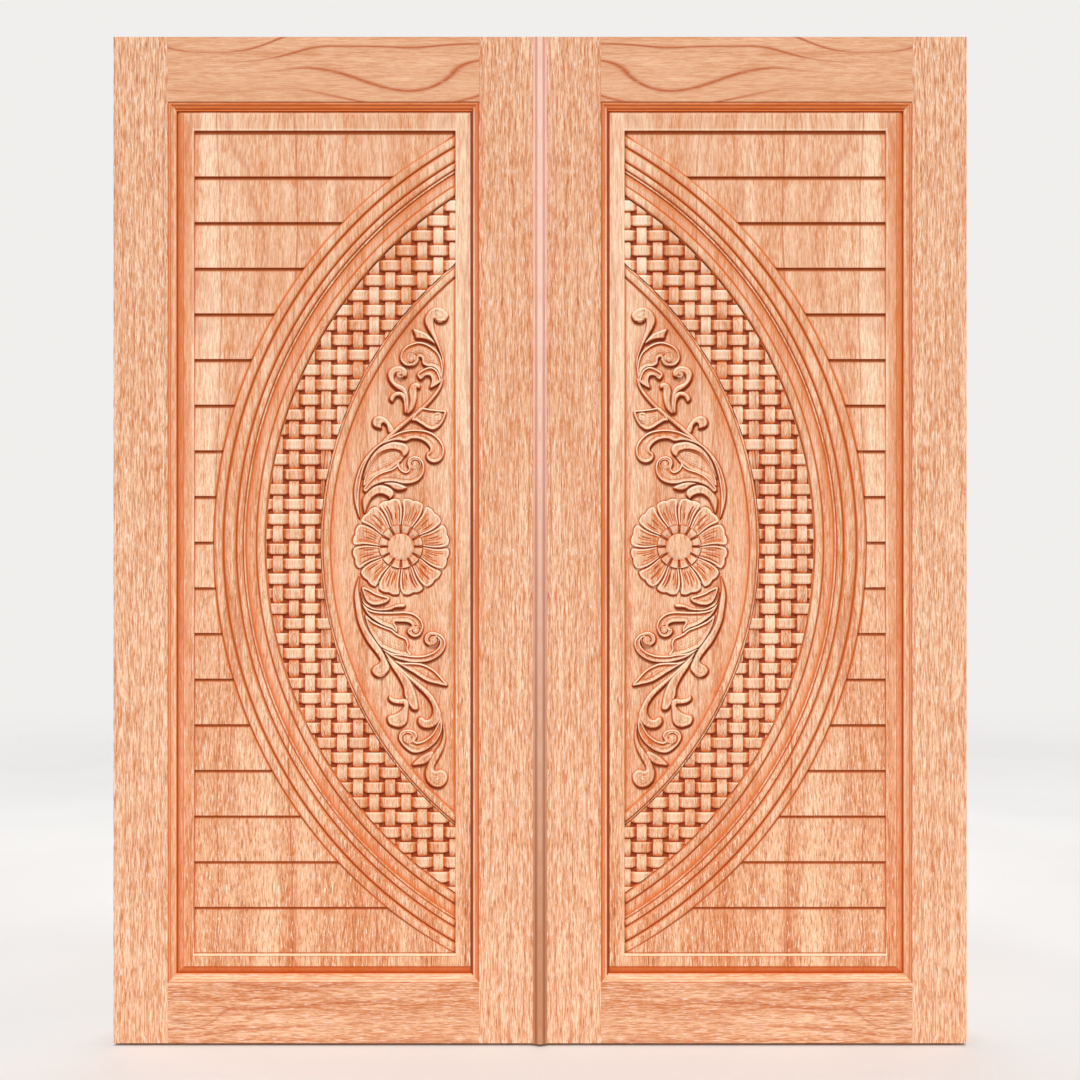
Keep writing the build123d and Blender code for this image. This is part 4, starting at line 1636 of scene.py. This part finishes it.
    def _wall(self, relief: Relief, line: np.ndarray, height: float, lift: float) -> None:
        """Adds the wall round a leaf and the painted shadow on the ground at its foot.

        Args:
            relief: The surface that takes it.
            line: The leaf's outline.
            height: Height of the wall.
            lift: The leaf's own lift, which keeps the grounds of two leaves apart.
        """
        outward, area = self._outward(line)
        loop = [*range(len(line)), 0]
        under = (1.0 - self._facing(outward))[loop][:, None]
        past, tone, more_tone = (column[None, :] for column in np.array(self.wall).T)
        reach = past * (0.5 + 0.7 * under)
        out = np.minimum(line[loop, 0][:, None] + outward[loop, 0][:, None] * reach, self.plan.field_right)
        up = line[loop, 1][:, None] + outward[loop, 1][:, None] * reach
        low = 0.05 + 0.08 * lift
        depth = self.ground_depth - np.array([[height, height * 0.4, low, low, low - 0.1]])
        # Painted shadow on the ground round the leaf, wider and darker on the side away from the light
        relief.grid(out, depth, up, tone + under * more_tone, flip=area < 0.0)

    def _eye(self, relief: Relief, eye: CurlEye) -> None:
        """Adds the pearl at a curl's end and the groove that winds in to it.

        Args:
            relief: The surface that takes it.
            eye: Its place, size and turn.
        """
        p = self.plan
        share = np.append(np.linspace(0.0, 1.0, self.eye_rings), self.eye_skirt)[None, :]
        turn = np.linspace(0.0, math.tau, self.eye_steps + 1)[:, None]
        wind = ((eye.hand * (turn - math.radians(eye.start))) / math.tau) % 1.0
        groove = smooth(1.0 - np.abs(share - 0.98 + 0.5 * wind) / 0.17)
        groove = groove * smooth(wind / 0.05) * smooth((1.0 - wind) / 0.1)
        pearl = smooth(1.0 - share / 0.42)
        lip = smooth(1.0 - np.abs(share - 1.18 + 0.5 * wind) / 0.16)
        top = np.where(share > 1.0, self.eye_foot, self.eye_height)
        height = top - 3.2 * groove + 2.0 * pearl + 0.8 * lip
        # Painted shade in the groove, and painted highlights on the pearl and the lip
        tint = groove - 0.6 * pearl - 0.3 * lip
        x = p.field_right - self.inset + eye.right + eye.radius * share * np.sin(turn)
        z = p.fan_z - self.drop + eye.up + eye.radius * share * np.cos(turn)
        relief.grid(x, self.ground_depth - height, z, tint)

    def build(self, side: Side, finish: bpy.types.Material) -> bpy.types.Object:
        """Carves all the leaves of one panel.

        Args:
            side: The leaf of the door.
            finish: The panel's material.

        Returns:
            The new object, in place of the CAD panel.
        """
        relief = Relief(self.plan, self.lean)
        for index, leaf in enumerate(self.leaves.values()):
            self._leaf(relief, leaf, self.lift_step * (index % self.lift_count))
        for eye in self.eyes:
            self._eye(relief, eye)
        return relief.build_carving("scroll_leaves", side, finish, self.crease)


@dataclass
class PanelMouldings:
    """The four mitred mouldings that line a panel opening."""

    plan: LeafPlan
    width: float = 17.0
    sink: float = 1.5
    drop: float = 8.0
    fillet: float = 3.0
    step: float = 0.8
    seat: float = 15.0
    curve_steps: int = 20
    curve_ease: float = 0.72
    crease: float = 30.0

    def _profile(self) -> np.ndarray:
        """Draws the moulding's section, an ogee between two fillets.

        Returns:
            Distance from the seam and depth of each point.
        """
        start, end = self.fillet, self.width - self.fillet
        top, low = self.sink + self.step, self.sink + self.drop - self.step
        points = [
            (0.0, self.seat), (0.0, self.sink + 0.8), (0.8, self.sink + 0.2), (1.6, self.sink),
            (start - 0.4, self.sink), (start, self.sink + 0.4), (start + 0.3, top),
        ]
        for part in range(1, self.curve_steps):
            share = part / self.curve_steps
            ease = share - math.sin(math.tau * share) / math.tau * self.curve_ease
            points.append((start + share * (end - start), top + ease * (low - top)))
        points += [
            (end, low), (end, low + 0.4), (end + 0.4, low + self.step), (end + 1.4, low + self.step),
            (self.width - 0.6, low + self.step), (self.width, low + self.step + 0.7),
            (self.width, self.seat), (0.0, self.seat),
        ]
        return np.array(points)

    def build(self, side: Side, upright: bpy.types.Material, level: bpy.types.Material) -> None:
        """Makes the four mouldings of one leaf.

        Args:
            side: The leaf.
            upright: Finish of the two upright ones.
            level: Finish of the two level ones.
        """
        p = self.plan
        profile = self._profile()
        away, depth = (profile[:, column][None, :] for column in range(2))
        low_z, high_z = p.open_foot + away, p.open_top - away
        low_x, high_x = p.open_left + away, p.open_right - away
        runs = {
            "hinge_side_moulding": (np.vstack([low_x, low_x]), np.vstack([low_z, high_z]), False, upright),
            "meeting_side_moulding": (np.vstack([high_x, high_x]), np.vstack([low_z, high_z]), True, upright),
            "bottom_moulding": (np.vstack([low_x, high_x]), np.vstack([low_z, low_z]), True, level),
            "top_moulding": (np.vstack([low_x, high_x]), np.vstack([high_z, high_z]), False, level),
        }
        for name, (x, z, flip, finish) in runs.items():
            relief = Relief(p)
            # Bands of painted shade and painted highlight across the moulding
            places, tints = zip(*MOULDING_LIGHT_BANDS[name])
            relief.grid(x, depth, z, np.interp(away, places, tints), flip)
            made = relief.build(f"{side.value}_{name}_ogee", side, finish, self.crease)
            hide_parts(f"{side.value}_{name}")


@dataclass
class CoverStrip:
    """Half of the strip over the meeting line: a bead, a quirk and half of a round."""

    plan: LeafPlan
    width: float = 14.5
    reach: float = 0.9
    thickness: float = 9.0
    bead_base: Point = (2.1, 2.6)
    bead_rise: float = 2.2
    quirk: tuple[Point, ...] = ((4.3, -2.2), (5.4, -2.2))
    round_start: Point = (5.6, -3.4)
    bead_steps: int = 8
    round_steps: int = 16
    end_gap: float = 2.5
    end_step: float = 1.0
    # Slight painted shade on the strip's closed ends
    end_tint: float = 0.1
    crease: float = 30.0
    # Painted highlights and shade in bands across the half strip, from its outer edge
    bands: tuple[Point, ...] = (
        (0.0, 0.4), (0.8, 0.05), (1.4, -0.1), (3.8, -0.1), (4.4, 0.26), (5.0, 0.34), (9.0, 0.3), (9.7, -0.1),
        (10.4, -0.5), (12.6, -0.5), (13.4, -0.2), (14.5, -0.15),
    )

    def _profile(self) -> np.ndarray:
        """Draws the half strip's section.

        Returns:
            Distance from the strip's outer edge and depth of each point.
        """
        half, base = self.bead_base
        start, depth = self.round_start
        points = [(0.0, 0.0), (0.0, 0.2 - base)]
        for part in range(self.bead_steps + 1):
            turn = math.pi * part / self.bead_steps
            points.append((half - half * math.cos(turn), -base - self.bead_rise * math.sin(turn)))
        points += [*self.quirk, self.round_start]
        for part in range(1, self.round_steps + 1):
            share = part / self.round_steps
            rise = math.sin(share * math.pi / 2.0)
            points.append((start + (self.width - start) * share, depth - (self.thickness + depth) * rise))
        points += [(self.width, 0.0), (0.0, 0.0)]
        return np.array(points)

    def build(self, side: Side, finish: bpy.types.Material) -> bpy.types.Object:
        """Makes the half strip of one leaf, with closed ends.

        Args:
            side: The leaf.
            finish: The strip's material.

        Returns:
            The new object, in place of the CAD strip.
        """
        p = self.plan
        away, depth = self._profile().T
        x = p.inner + self.reach - self.width + away
        foot, top = p.foot, p.top - self.end_gap
        heights = np.array([[foot], [foot + self.end_step], [top - self.end_step], [top]])
        relief = Relief(p)
        places, tints = zip(*self.bands)
        relief.grid(x[None, :], depth[None, :], heights, np.interp(away, places, tints)[None, :])
        count = len(away) - 1
        for height, order in ((foot, 1), (top, -1)):
            ring = np.column_stack([x[:count], depth[:count], np.full(count, height)])
            relief.patch(ring, [tuple(range(count))[::order]], np.full(count, self.end_tint))
        made = relief.build(f"{side.value}_cover_strip_beaded", side, finish, self.crease)
        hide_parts(f"{side.value}_cover_strip")
        return made


@dataclass
class LeafFrame:
    """Stiles and rails of the leaves, kept from the CAD model with eased edges."""

    frame: dict
    ease: float = 0.7

    def dress(self, finishes: dict[str, bpy.types.Material]) -> None:
        """Gives each stile and rail its finish.

        Args:
            finishes: Material of each piece, by its name without the side.
        """
        for side in Side:
            for name, finish in finishes.items():
                dress_node(self.frame, f"{side.value}_{name}", finish, self.ease)


@dataclass
class OuterFrame:
    """Jambs and head that stay still, kept from the CAD model."""

    frame: dict
    ease: float = 1.0

    def dress(self, upright: bpy.types.Material, level: bpy.types.Material) -> None:
        """Gives the jambs and the head their finish.

        Args:
            upright: The jambs' material.
            level: The head's material.
        """
        for side in Side:
            dress_node(self.frame, f"{side.value}_jamb", upright, self.ease)
        dress_node(self.frame, "frame_head", level, self.ease)


@dataclass
class Hinges:
    """Lift-off hinges, kept from the CAD model, and the screws in their plates."""

    frame: dict
    head_radius: float = 4.2
    head_rise: float = 0.5
    rounds: int = 20
    # Shares of the head's radius and of its rise
    rings: tuple[Point, ...] = ((1.0, 0.0), (0.92, 0.7), (0.6, 1.0), (0.0, 1.0))
    slot_width: float = 0.16
    slot_reach: float = 0.8
    slot_depth: float = 0.75
    least_rise: float = 0.05
    # Height from the plate's middle, and distance from its inner edge
    screws: tuple[Point, ...] = ((-38.0, 10.0), (0.0, 18.0), (38.0, 10.0))

    def _screw(
        self, x: float, y: float, z: float, out: float
    ) -> tuple[list[Triple], list[tuple[int, ...]]]:
        """Points and faces of one low screw head with a slot across it.

        Args:
            x: Centre across.
            y: Face of the plate.
            z: Centre's height.
            out: 1 where the head looks to the back, -1 where it looks to the front.

        Returns:
            Points in metres and faces.
        """
        points, faces = [], []
        for ring, (share, rise) in enumerate(self.rings):
            for step in range(self.rounds):
                turn = math.tau * step / self.rounds
                a, b = math.cos(turn) * share, math.sin(turn) * share
                slot = self.slot_depth if abs(a) < self.slot_width and share < self.slot_reach else 0.0
                lift = self.head_rise * max(rise - slot, self.least_rise)
                points.append(((x + a * self.head_radius) * MM, (y + out * lift) * MM,
                               (z + b * self.head_radius) * MM))
                if ring:
                    at, after = ring * self.rounds + step, ring * self.rounds + (step + 1) % self.rounds
                    quad = (at - self.rounds, after - self.rounds, after, at)
                    faces.append(quad if out < 0 else quad[::-1])
        return points, faces

    def build(self, finish: bpy.types.Material) -> None:
        """Dresses the hinges and adds the screws of each plate.

        Args:
            finish: The hinges' material.
        """
        back = {side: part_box(f"{side.value}_hinge_stile")[1].y for side in Side}
        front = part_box("frame_head")[0].y
        for side in Side:
            halves = (("eye", side.body, back[side], 1.0), ("pintle", "frame", front, -1.0))
            for half, body, face, out in halves:
                points: list[Triple] = []
                faces: list[tuple[int, ...]] = []
                for place in ("lower", "middle", "upper"):
                    node = f"{side.value}_hinge_{half}_{place}"
                    dress_node(self.frame, node, finish, 0.0)
                    low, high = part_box(node)
                    inner = max(low.x, high.x, key=lambda value: -abs(value)) / MM
                    middle = (low.z + high.z) / 2.0 / MM
                    for height, shift in self.screws:
                        places, quads = self._screw(
                            inner - side.flip * shift, face / MM, middle + height, out)
                        start = len(points)
                        points += places
                        faces += [tuple(start + index for index in quad) for quad in quads]
                made = place_mesh(f"{side.value}_{half}_screws", points, faces, finish)
                made.data.shade_smooth()
                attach(made, body)


@dataclass
class Studio:
    """Pale floor, soft lamps and the camera."""

    plan: LeafPlan
    floor_radius: float = 9.0
    floor_sides: int = 96
    view_width: float = 2253.6
    distance: float = 3300.0
    sensor: float = 36.0
    key_strength: float = 2.3
    key_height: float = 49.0
    key_softness: float = 9.0
    floor_drop: float = 0.0005
    lamp_aim: Triple = (0.0, 0.0, 1.05)
    lamps: tuple[tuple[str, Point, Triple, float], ...] = (
        ("fill_lamp", (3.0, 1.8), (0.5, -4.6, 1.2), 17.0),
        ("back_lamp", (3.0, 1.6), (0.0, 3.2, 3.0), 40.0),
    )

    def _floor(self, finish: bpy.types.Material) -> None:
        """Adds a wide round floor just under the frame's feet.

        Args:
            finish: The floor's material.
        """
        turns = [math.tau * step / self.floor_sides for step in range(self.floor_sides)]
        ring = [(self.floor_radius * math.cos(turn), self.floor_radius * math.sin(turn)) for turn in turns]
        points = [(x, y, -self.floor_drop) for x, y in ring]
        place_mesh("studio_floor", points, [tuple(range(self.floor_sides))], finish)

    def _lamps(self) -> None:
        """Adds a soft high key and the lamps, which the camera doesn't see."""
        sun = bpy.data.lights.new("key_lamp", "SUN")
        sun.energy = self.key_strength
        sun.angle = math.radians(self.key_softness)
        key = bpy.data.objects.new("key_lamp", sun)
        key.rotation_euler = (math.radians(90.0 - self.key_height), 0.0, 0.0)
        bpy.context.scene.collection.objects.link(key)
        for name, size, place, power in self.lamps:
            lamp = bpy.data.lights.new(name, "AREA")
            lamp.shape = "RECTANGLE"
            lamp.size, lamp.size_y = size
            lamp.energy = power
            made = bpy.data.objects.new(name, lamp)
            made.location = place
            way = Vector(self.lamp_aim) - Vector(place)
            made.rotation_euler = way.to_track_quat("-Z", "Y").to_euler()
            made.visible_camera = False
            bpy.context.scene.collection.objects.link(made)

    def _camera(self) -> None:
        """Looks straight at the middle of the leaves."""
        p = self.plan
        data = bpy.data.cameras.new("photo_camera")
        data.sensor_width = self.sensor
        data.lens = self.sensor * self.distance / self.view_width
        camera = bpy.data.objects.new("photo_camera", data)
        camera.location = (0.0, (p.front - self.distance) * MM, (p.foot + p.top) / 2.0 * MM)
        camera.rotation_euler = (math.pi / 2.0, 0.0, 0.0)
        bpy.context.scene.collection.objects.link(camera)
        bpy.context.scene.camera = camera

    def build(self, finish: bpy.types.Material, sky: bpy.types.World) -> None:
        """Sets up the whole studio.

        Args:
            finish: The floor's material.
            sky: The room round the door.
        """
        bpy.context.scene.view_settings.view_transform = "Standard"
        bpy.context.scene.world = sky
        self._floor(finish)
        self._lamps()
        self._camera()


def dress_node(frame: dict, name: str, finish: bpy.types.Material, ease: float) -> None:
    """Gives a CAD node a finish, and eases its edges.

    Args:
        frame: The loaded frame.
        name: The node.
        finish: Its material.
        ease: Width of the eased edge in millimetres, or 0 for none.
    """
    node = frame["nodes"][name]
    node.data.materials.clear()
    node.data.materials.append(finish)
    if ease:
        bevel = node.modifiers.new("eased_edge", "BEVEL")
        bevel.width = ease * MM
        bevel.segments = 2
        bevel.limit_method = "ANGLE"
        bevel.angle_limit = math.radians(40.0)
        bevel.harden_normals = True
    LOG.info("%s dressed in %s", name, finish.name)


# Relief of each moulding at distances from its seam with the stile or the rail, in millimetres: bands of
# painted shade and painted highlight, with more shade on the top and meeting side
MOULDING_LIGHT_BANDS: dict[str, tuple[Point, ...]] = {
    "hinge_side_moulding": (
        (0.0, 0.9), (1.0, 0.8), (1.6, 0.36), (3.8, 0.36), (4.6, 0.62), (6.0, 0.62), (6.8, 0.1), (11.0, 0.05),
        (12.0, -0.1), (12.8, -0.2), (14.4, -0.2), (15.2, 0.35), (16.2, 0.65), (17.0, 0.75),
    ),
    "meeting_side_moulding": (
        (0.0, 0.95), (0.8, 0.9), (1.4, 0.56), (4.2, 0.66), (5.4, 0.42), (8.6, 0.4), (9.4, -0.4), (12.0, -0.4),
        (12.8, 0.95), (16.4, 1.0), (17.0, 0.7),
    ),
    "bottom_moulding": (
        (0.0, 0.5), (0.8, 0.35), (1.6, -0.2), (4.4, -0.3), (5.6, 0.38), (6.6, 0.38), (7.8, -0.12),
        (14.0, 0.04), (16.0, 0.1), (17.0, 0.7),
    ),
    "top_moulding": (
        (0.0, 1.0), (1.8, 0.95), (2.6, 0.32), (4.8, 0.32), (5.6, 0.85), (7.2, 0.85), (8.2, 0.45),
        (11.4, 0.45), (12.4, 0.95), (14.6, 0.95), (15.4, 0.5), (16.2, 0.5), (17.0, 0.8),
    ),
}

SCROLL_LEAVES: dict[str, ScrollLeaf] = {
    "upper_main_leaf": ScrollLeaf((
        (-86, 58), (-94, 80), (-98, 102), (-98, 123), (-94, 143), (-86, 167), (-74, 187), (-59, 204),
        (-41, 219), (-20, 232),
        (4, 242), (27, 245), (50, 243), (68, 236), (82, 223), (90, 207), (89, 191), (82, 180),
        (71, 175), (59, 178), (53, 186), (54, 194), (60, 199), (60, 207), (52, 217), (39, 224),
        (22, 225), (9, 220), (-8, 222), (-24, 219), (-43, 211), (-59, 196), (-72, 176), (-80, 155),
        (-85, 132), (-88, 108), (-88, 84),
    )),
    "upper_second_finger": ScrollLeaf((
        (-80, 141), (-73, 167), (-61, 190), (-43, 208), (-20, 218), (-1, 217), (11, 213), (16, 204),
        (13, 194), (6, 188), (2, 189), (1, 194), (-3, 199), (-13, 202), (-24, 202), (-38, 198),
        (-51, 189), (-64, 171), (-72, 153),
    ), LeafForm.STEM),
    "upper_third_leaf": ScrollLeaf((
        (-79, 120), (-68, 136), (-54, 149), (-38, 157), (-20, 163), (-10, 170), (-6, 178), (-1, 164),
        (9, 157), (16, 162), (13, 173), (16, 184), (27, 189), (39, 186), (47, 176), (49, 163),
        (46, 150), (36, 138), (22, 132), (4, 131), (-15, 135), (-38, 134), (-59, 126), (-73, 114),
    )),
    "upper_tip_leaf": ScrollLeaf((
        (-37, 132), (-17, 134), (-1, 130), (12, 123), (-1, 117), (-14, 119), (-24, 126),
    ), LeafForm.STEM),
    "upper_fifth_curl": ScrollLeaf((
        (-81, 95), (-73, 110), (-59, 123), (-45, 128), (-31, 126), (-19, 119), (-15, 110), (-19, 103),
        (-24, 99), (-28, 104), (-39, 109), (-51, 108), (-63, 99), (-71, 83), (-77, 69),
    ), LeafForm.STEM),
    "upper_web": ScrollLeaf((
        (-80, 128), (-72, 160), (-57, 186), (-37, 203), (-10, 209), (8, 196), (1, 180), (-8, 172),
        (-22, 162), (-42, 154), (-60, 144), (-72, 130),
    ), height=5.4),
    "rising_stem": ScrollLeaf((
        (-45, 211), (-31, 230), (-8, 251), (17, 271), (45, 294), (68, 319), (80, 338), (84, 352),
        (88, 350), (85, 335), (73, 315), (49, 288), (22, 265), (-1, 246), (-24, 226),
    ), LeafForm.STEM),
    "upper_volute": ScrollLeaf((
        (84, 350), (88, 364), (88, 375), (85, 391), (78, 406), (66, 417), (52, 425), (36, 428),
        (20, 424), (8, 417), (0, 406), (-2, 393), (2, 384), (10, 378), (20, 377), (29, 380), (36, 387),
        (37, 396), (43, 393), (45, 382), (55, 376), (66, 375), (76, 368),
    )),
    "upper_volute_lobe": ScrollLeaf((
        (82, 343), (83, 352), (76, 368), (66, 375), (56, 375), (45, 370), (36, 364), (34, 357),
        (40, 349), (46, 352), (51, 357), (61, 356), (64, 345), (61, 331),
    )),
    "top_curl": ScrollLeaf((
        (87, 368), (84, 396), (75, 419), (64, 440), (55, 455), (50, 467), (50, 477), (55, 488),
        (63, 496), (73, 500), (85, 498), (94, 492), (99, 484), (97, 477), (92, 471), (82, 469),
        (74, 471), (70, 476), (68, 468), (70, 452), (77, 431), (85, 406), (90, 387),
    ), LeafForm.STEM),
    "top_small_leaf": ScrollLeaf((
        (25, 455), (41, 451), (55, 444), (66, 433), (71, 424), (55, 431), (43, 434), (31, 435), (29, 442),
    ), LeafForm.STEM),
    "left_curl": ScrollLeaf((
        (-15, 243), (-25, 261), (-35, 270), (-47, 273), (-56, 269), (-60, 259), (-57, 251), (-48, 247),
        (-41, 247), (-42, 253), (-38, 258), (-31, 253), (-25, 236),
    ), LeafForm.STEM),
    "right_bud": ScrollLeaf((
        (38, 289), (59, 288), (76, 286), (94, 283), (90, 266), (81, 252), (68, 244), (55, 247),
        (46, 253), (31, 262), (22, 265),
    )),
    "lobe_finger": ScrollLeaf((
        (13, 278), (18, 303), (16, 324), (21, 338), (31, 343), (40, 338), (38, 330), (33, 330),
        (33, 313), (29, 294), (22, 283),
    ), LeafForm.STEM),
    "left_finger": ScrollLeaf((
        (12, 276), (8, 303), (4, 320), (-14, 333), (-24, 345), (-28, 359), (-24, 369), (-15, 376),
        (-1, 377), (10, 371), (13, 362), (10, 355), (3, 356), (-3, 363), (-12, 361), (-15, 352),
        (-10, 342), (6, 334), (14, 320), (16, 294),
    ), LeafForm.STEM),
    "low_finger": ScrollLeaf((
        (7, 278), (5, 301), (-1, 313), (-10, 313), (-15, 307), (-18, 302), (-24, 306), (-23, 313),
        (-16, 321), (-5, 324), (6, 321), (13, 312), (15, 301), (13, 285),
    ), LeafForm.STEM),
    "lower_main_leaf": ScrollLeaf((
        (-87, -62), (-95, -84), (-98, -106), (-95, -133), (-91, -156), (-82, -179), (-71, -200), (-57, -218),
        (-48, -230), (-44, -239), (-48, -246), (-56, -251), (-61, -260), (-57, -269), (-48, -273),
        (-38, -271), (-28, -263), (-24, -253), (-32, -234), (-41, -216), (-55, -196), (-70, -174),
        (-79, -152), (-83, -128), (-87, -105), (-89, -84),
    ), LeafForm.STEM),
    "lower_fan_leaf": ScrollLeaf((
        (-82, -86), (-67, -89), (-55, -96), (-42, -101), (-25, -107), (-29, -116), (-45, -122),
        (-61, -122), (-74, -112),
    )),
    "lower_upper_tip": ScrollLeaf((
        (-85, -95), (-78, -114), (-66, -124), (-52, -130), (-29, -129), (-10, -122), (2, -120),
        (9, -123), (4, -128), (-12, -129), (-24, -134), (-48, -135), (-65, -131), (-79, -121),
    ), LeafForm.STEM),
    "lower_upper_scroll": ScrollLeaf((
        (-82, -119), (-67, -131), (-48, -136), (-22, -137), (8, -136), (27, -140), (41, -151),
        (47, -165), (45, -177), (39, -186), (30, -190), (20, -187), (13, -179), (16, -172), (23, -170),
        (21, -163), (13, -159), (-1, -158), (-13, -159), (-8, -170), (-9, -180), (-20, -172),
        (-38, -165), (-56, -154), (-71, -141),
    )),
    "lower_middle_leaf": ScrollLeaf((
        (-75, -144), (-59, -156), (-41, -165), (-20, -173), (-10, -181), (-1, -186), (11, -192),
        (16, -204), (15, -216), (22, -227), (8, -228), (-13, -224), (-31, -217), (-45, -208),
        (-59, -188), (-70, -167),
    )),
    "wide_curl": ScrollLeaf((
        (-41, -214), (-20, -230), (4, -239), (31, -243), (59, -240), (81, -228), (92, -212),
        (93, -198), (85, -186), (73, -180), (61, -179), (51, -186), (49, -197), (55, -205), (64, -204),
        (68, -196), (75, -191), (81, -200), (77, -212), (64, -222), (45, -228), (22, -228), (4, -225),
        (-17, -223), (-34, -216),
    )),
    "right_leaf": ScrollLeaf((
        (-15, -239), (4, -243), (25, -243), (46, -246), (68, -257), (84, -273), (97, -291), (75, -288),
        (56, -283), (40, -274), (23, -263), (4, -252),
    )),
    "falling_stem": ScrollLeaf((
        (-34, -221), (-20, -235), (-3, -251), (17, -269), (38, -286), (57, -302), (71, -320),
        (81, -341), (84, -353), (81, -365), (69, -377), (55, -381), (41, -377), (35, -367), (38, -358),
        (45, -358), (51, -363), (60, -360), (66, -348), (64, -332), (52, -313), (34, -295), (13, -276),
        (-6, -260), (-22, -246),
    ), LeafForm.STEM),
    "left_stem": ScrollLeaf((
        (-29, -235), (-20, -253), (-6, -274), (4, -295), (7, -313), (13, -325), (22, -340), (30, -343),
        (36, -339), (34, -323), (31, -309), (24, -290), (13, -272), (-3, -255), (-17, -242),
    ), LeafForm.STEM),
    "left_hook": ScrollLeaf((
        (16, -323), (15, -344), (13, -364), (8, -373), (-3, -379), (-15, -377), (-25, -372),
        (-29, -362), (-26, -355), (-15, -352), (-1, -344), (6, -332), (-6, -330), (-17, -328),
        (-26, -321), (-24, -313), (-17, -318), (-6, -320), (6, -319),
    ), LeafForm.STEM),
    "lower_volute": ScrollLeaf((
        (84, -355), (86, -381), (78, -402), (64, -418), (46, -429), (27, -432), (13, -425), (1, -413),
        (-5, -400), (-1, -388), (10, -383), (23, -384), (31, -389), (34, -398), (29, -407), (36, -409),
        (50, -404), (64, -392), (73, -378), (79, -364),
    )),
    "low_small_leaf": ScrollLeaf((
        (23, -458), (31, -448), (45, -437), (64, -428), (68, -434), (61, -446), (50, -455), (35, -458),
    ), LeafForm.STEM),
    "bottom_curl": ScrollLeaf((
        (85, -364), (88, -390), (83, -411), (73, -427), (64, -439), (57, -453), (51, -471), (52, -486),
        (59, -497), (71, -504), (85, -503), (95, -492), (97, -480), (92, -471), (82, -467), (73, -470),
        (69, -467), (72, -455), (80, -441), (89, -422), (93, -399), (90, -374),
    ), LeafForm.STEM),
}


def main() -> None:
    """Builds the door's looks piece by piece."""
    logging.basicConfig(level=logging.INFO, format="%(message)s")
    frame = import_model()
    plan = LeafPlan.measure()
    panel = TeakFinish(
        "teak_panel_carved", Grain.UPRIGHT, 3.1, light=srgb(255, 223, 190),
        ring_density=11.0, ring_wander=4.0, ring_share=0.3, ring_edge=30.0, seams=(0.334, 0.525, 0.677),
        fibre_contrast=0.9, band_share=0.45, dash_share=0.15, dash_foot=0.85, foot_tone=srgb(252, 240, 228),
    ).material()
    # The mouldings' hollow colour is their painted shade, a stronger orange on the level ones
    upright = TeakFinish(
        "teak_moulding_upright", Grain.UPRIGHT, 8.4, dash_share=0.2, fleck_share=0.3,
        hollow_shade=srgb(228, 112, 44),
    ).material()
    level = TeakFinish(
        "teak_moulding_level", Grain.LEVEL, 5.7, dash_share=0.2, fleck_share=0.3,
        hollow_shade=srgb(255, 128, 38),
    ).material()
    # The strip's painted shade, shadow and highlight colours are browner and paler
    strip = TeakFinish(
        "teak_cover_strip", Grain.UPRIGHT, 12.9, light=srgb(253, 218, 202), body=srgb(241, 186, 162),
        hollow_shade=srgb(186, 120, 80), shadow=srgb(110, 64, 42), crest=srgb(252, 220, 204),
        fleck_share=0.1, dash_share=0.1, ring_share=0.1, foot_tone=srgb(200, 170, 138),
    ).material()
    LeafFrame(frame).dress({
        "hinge_stile": TeakFinish(
            "teak_hinge_stile", Grain.UPRIGHT, 1.7, ring_share=0.3, ring_density=40.0, fibre_contrast=1.3,
        ).material(),
        "meeting_stile": TeakFinish(
            "teak_meeting_stile", Grain.UPRIGHT, 6.2, ring_share=0.3, ring_density=40.0, fibre_contrast=1.3,
        ).material(),
        "top_rail": TeakFinish(
            "teak_top_rail", Grain.LEVEL, 2.3, light=srgb(244, 197, 158), body=srgb(200, 117, 66),
            ring_density=24.0, ring_share=0.85, ring_edge=26.0, fleck_share=0.1, dash_share=0.15,
            fibre_contrast=0.6, band_share=0.5,
            knots=(Knot(0.69, 2.104, 0.03, 1.4), Knot(0.28, 1.99, 0.03, 1.2)),
        ).material(),
        "bottom_rail": TeakFinish(
            "teak_bottom_rail", Grain.LEVEL, 9.1, light=srgb(246, 200, 162), body=srgb(202, 120, 68),
            ring_density=22.0, ring_share=0.6, ring_edge=30.0, fibre_contrast=1.1, band_share=0.45,
            dash_share=0.6, knots=(Knot(0.75, 0.052, 0.016, 1.4, 0.35),),
        ).material(),
    })
    OuterFrame(frame).dress(
        TeakFinish("teak_jamb", Grain.UPRIGHT, 4.6).material(),
        TeakFinish("teak_head", Grain.LEVEL, 7.3).material(),
    )
    Hinges(frame).build(SteelFinish().material())
    for side in Side:
        PanelGround(plan).build(side, panel)
        BasketWeave(plan).build(side, panel)
        Rosette(plan).build(side, panel)
        ScrollWork(plan).build(side, panel)
        PanelMouldings(plan).build(side, upright, level)
        CoverStrip(plan).build(side, strip)
    Studio(plan).build(StudioFinish().material(), SkyFinish().world())


if __name__ == "__main__":
    main()
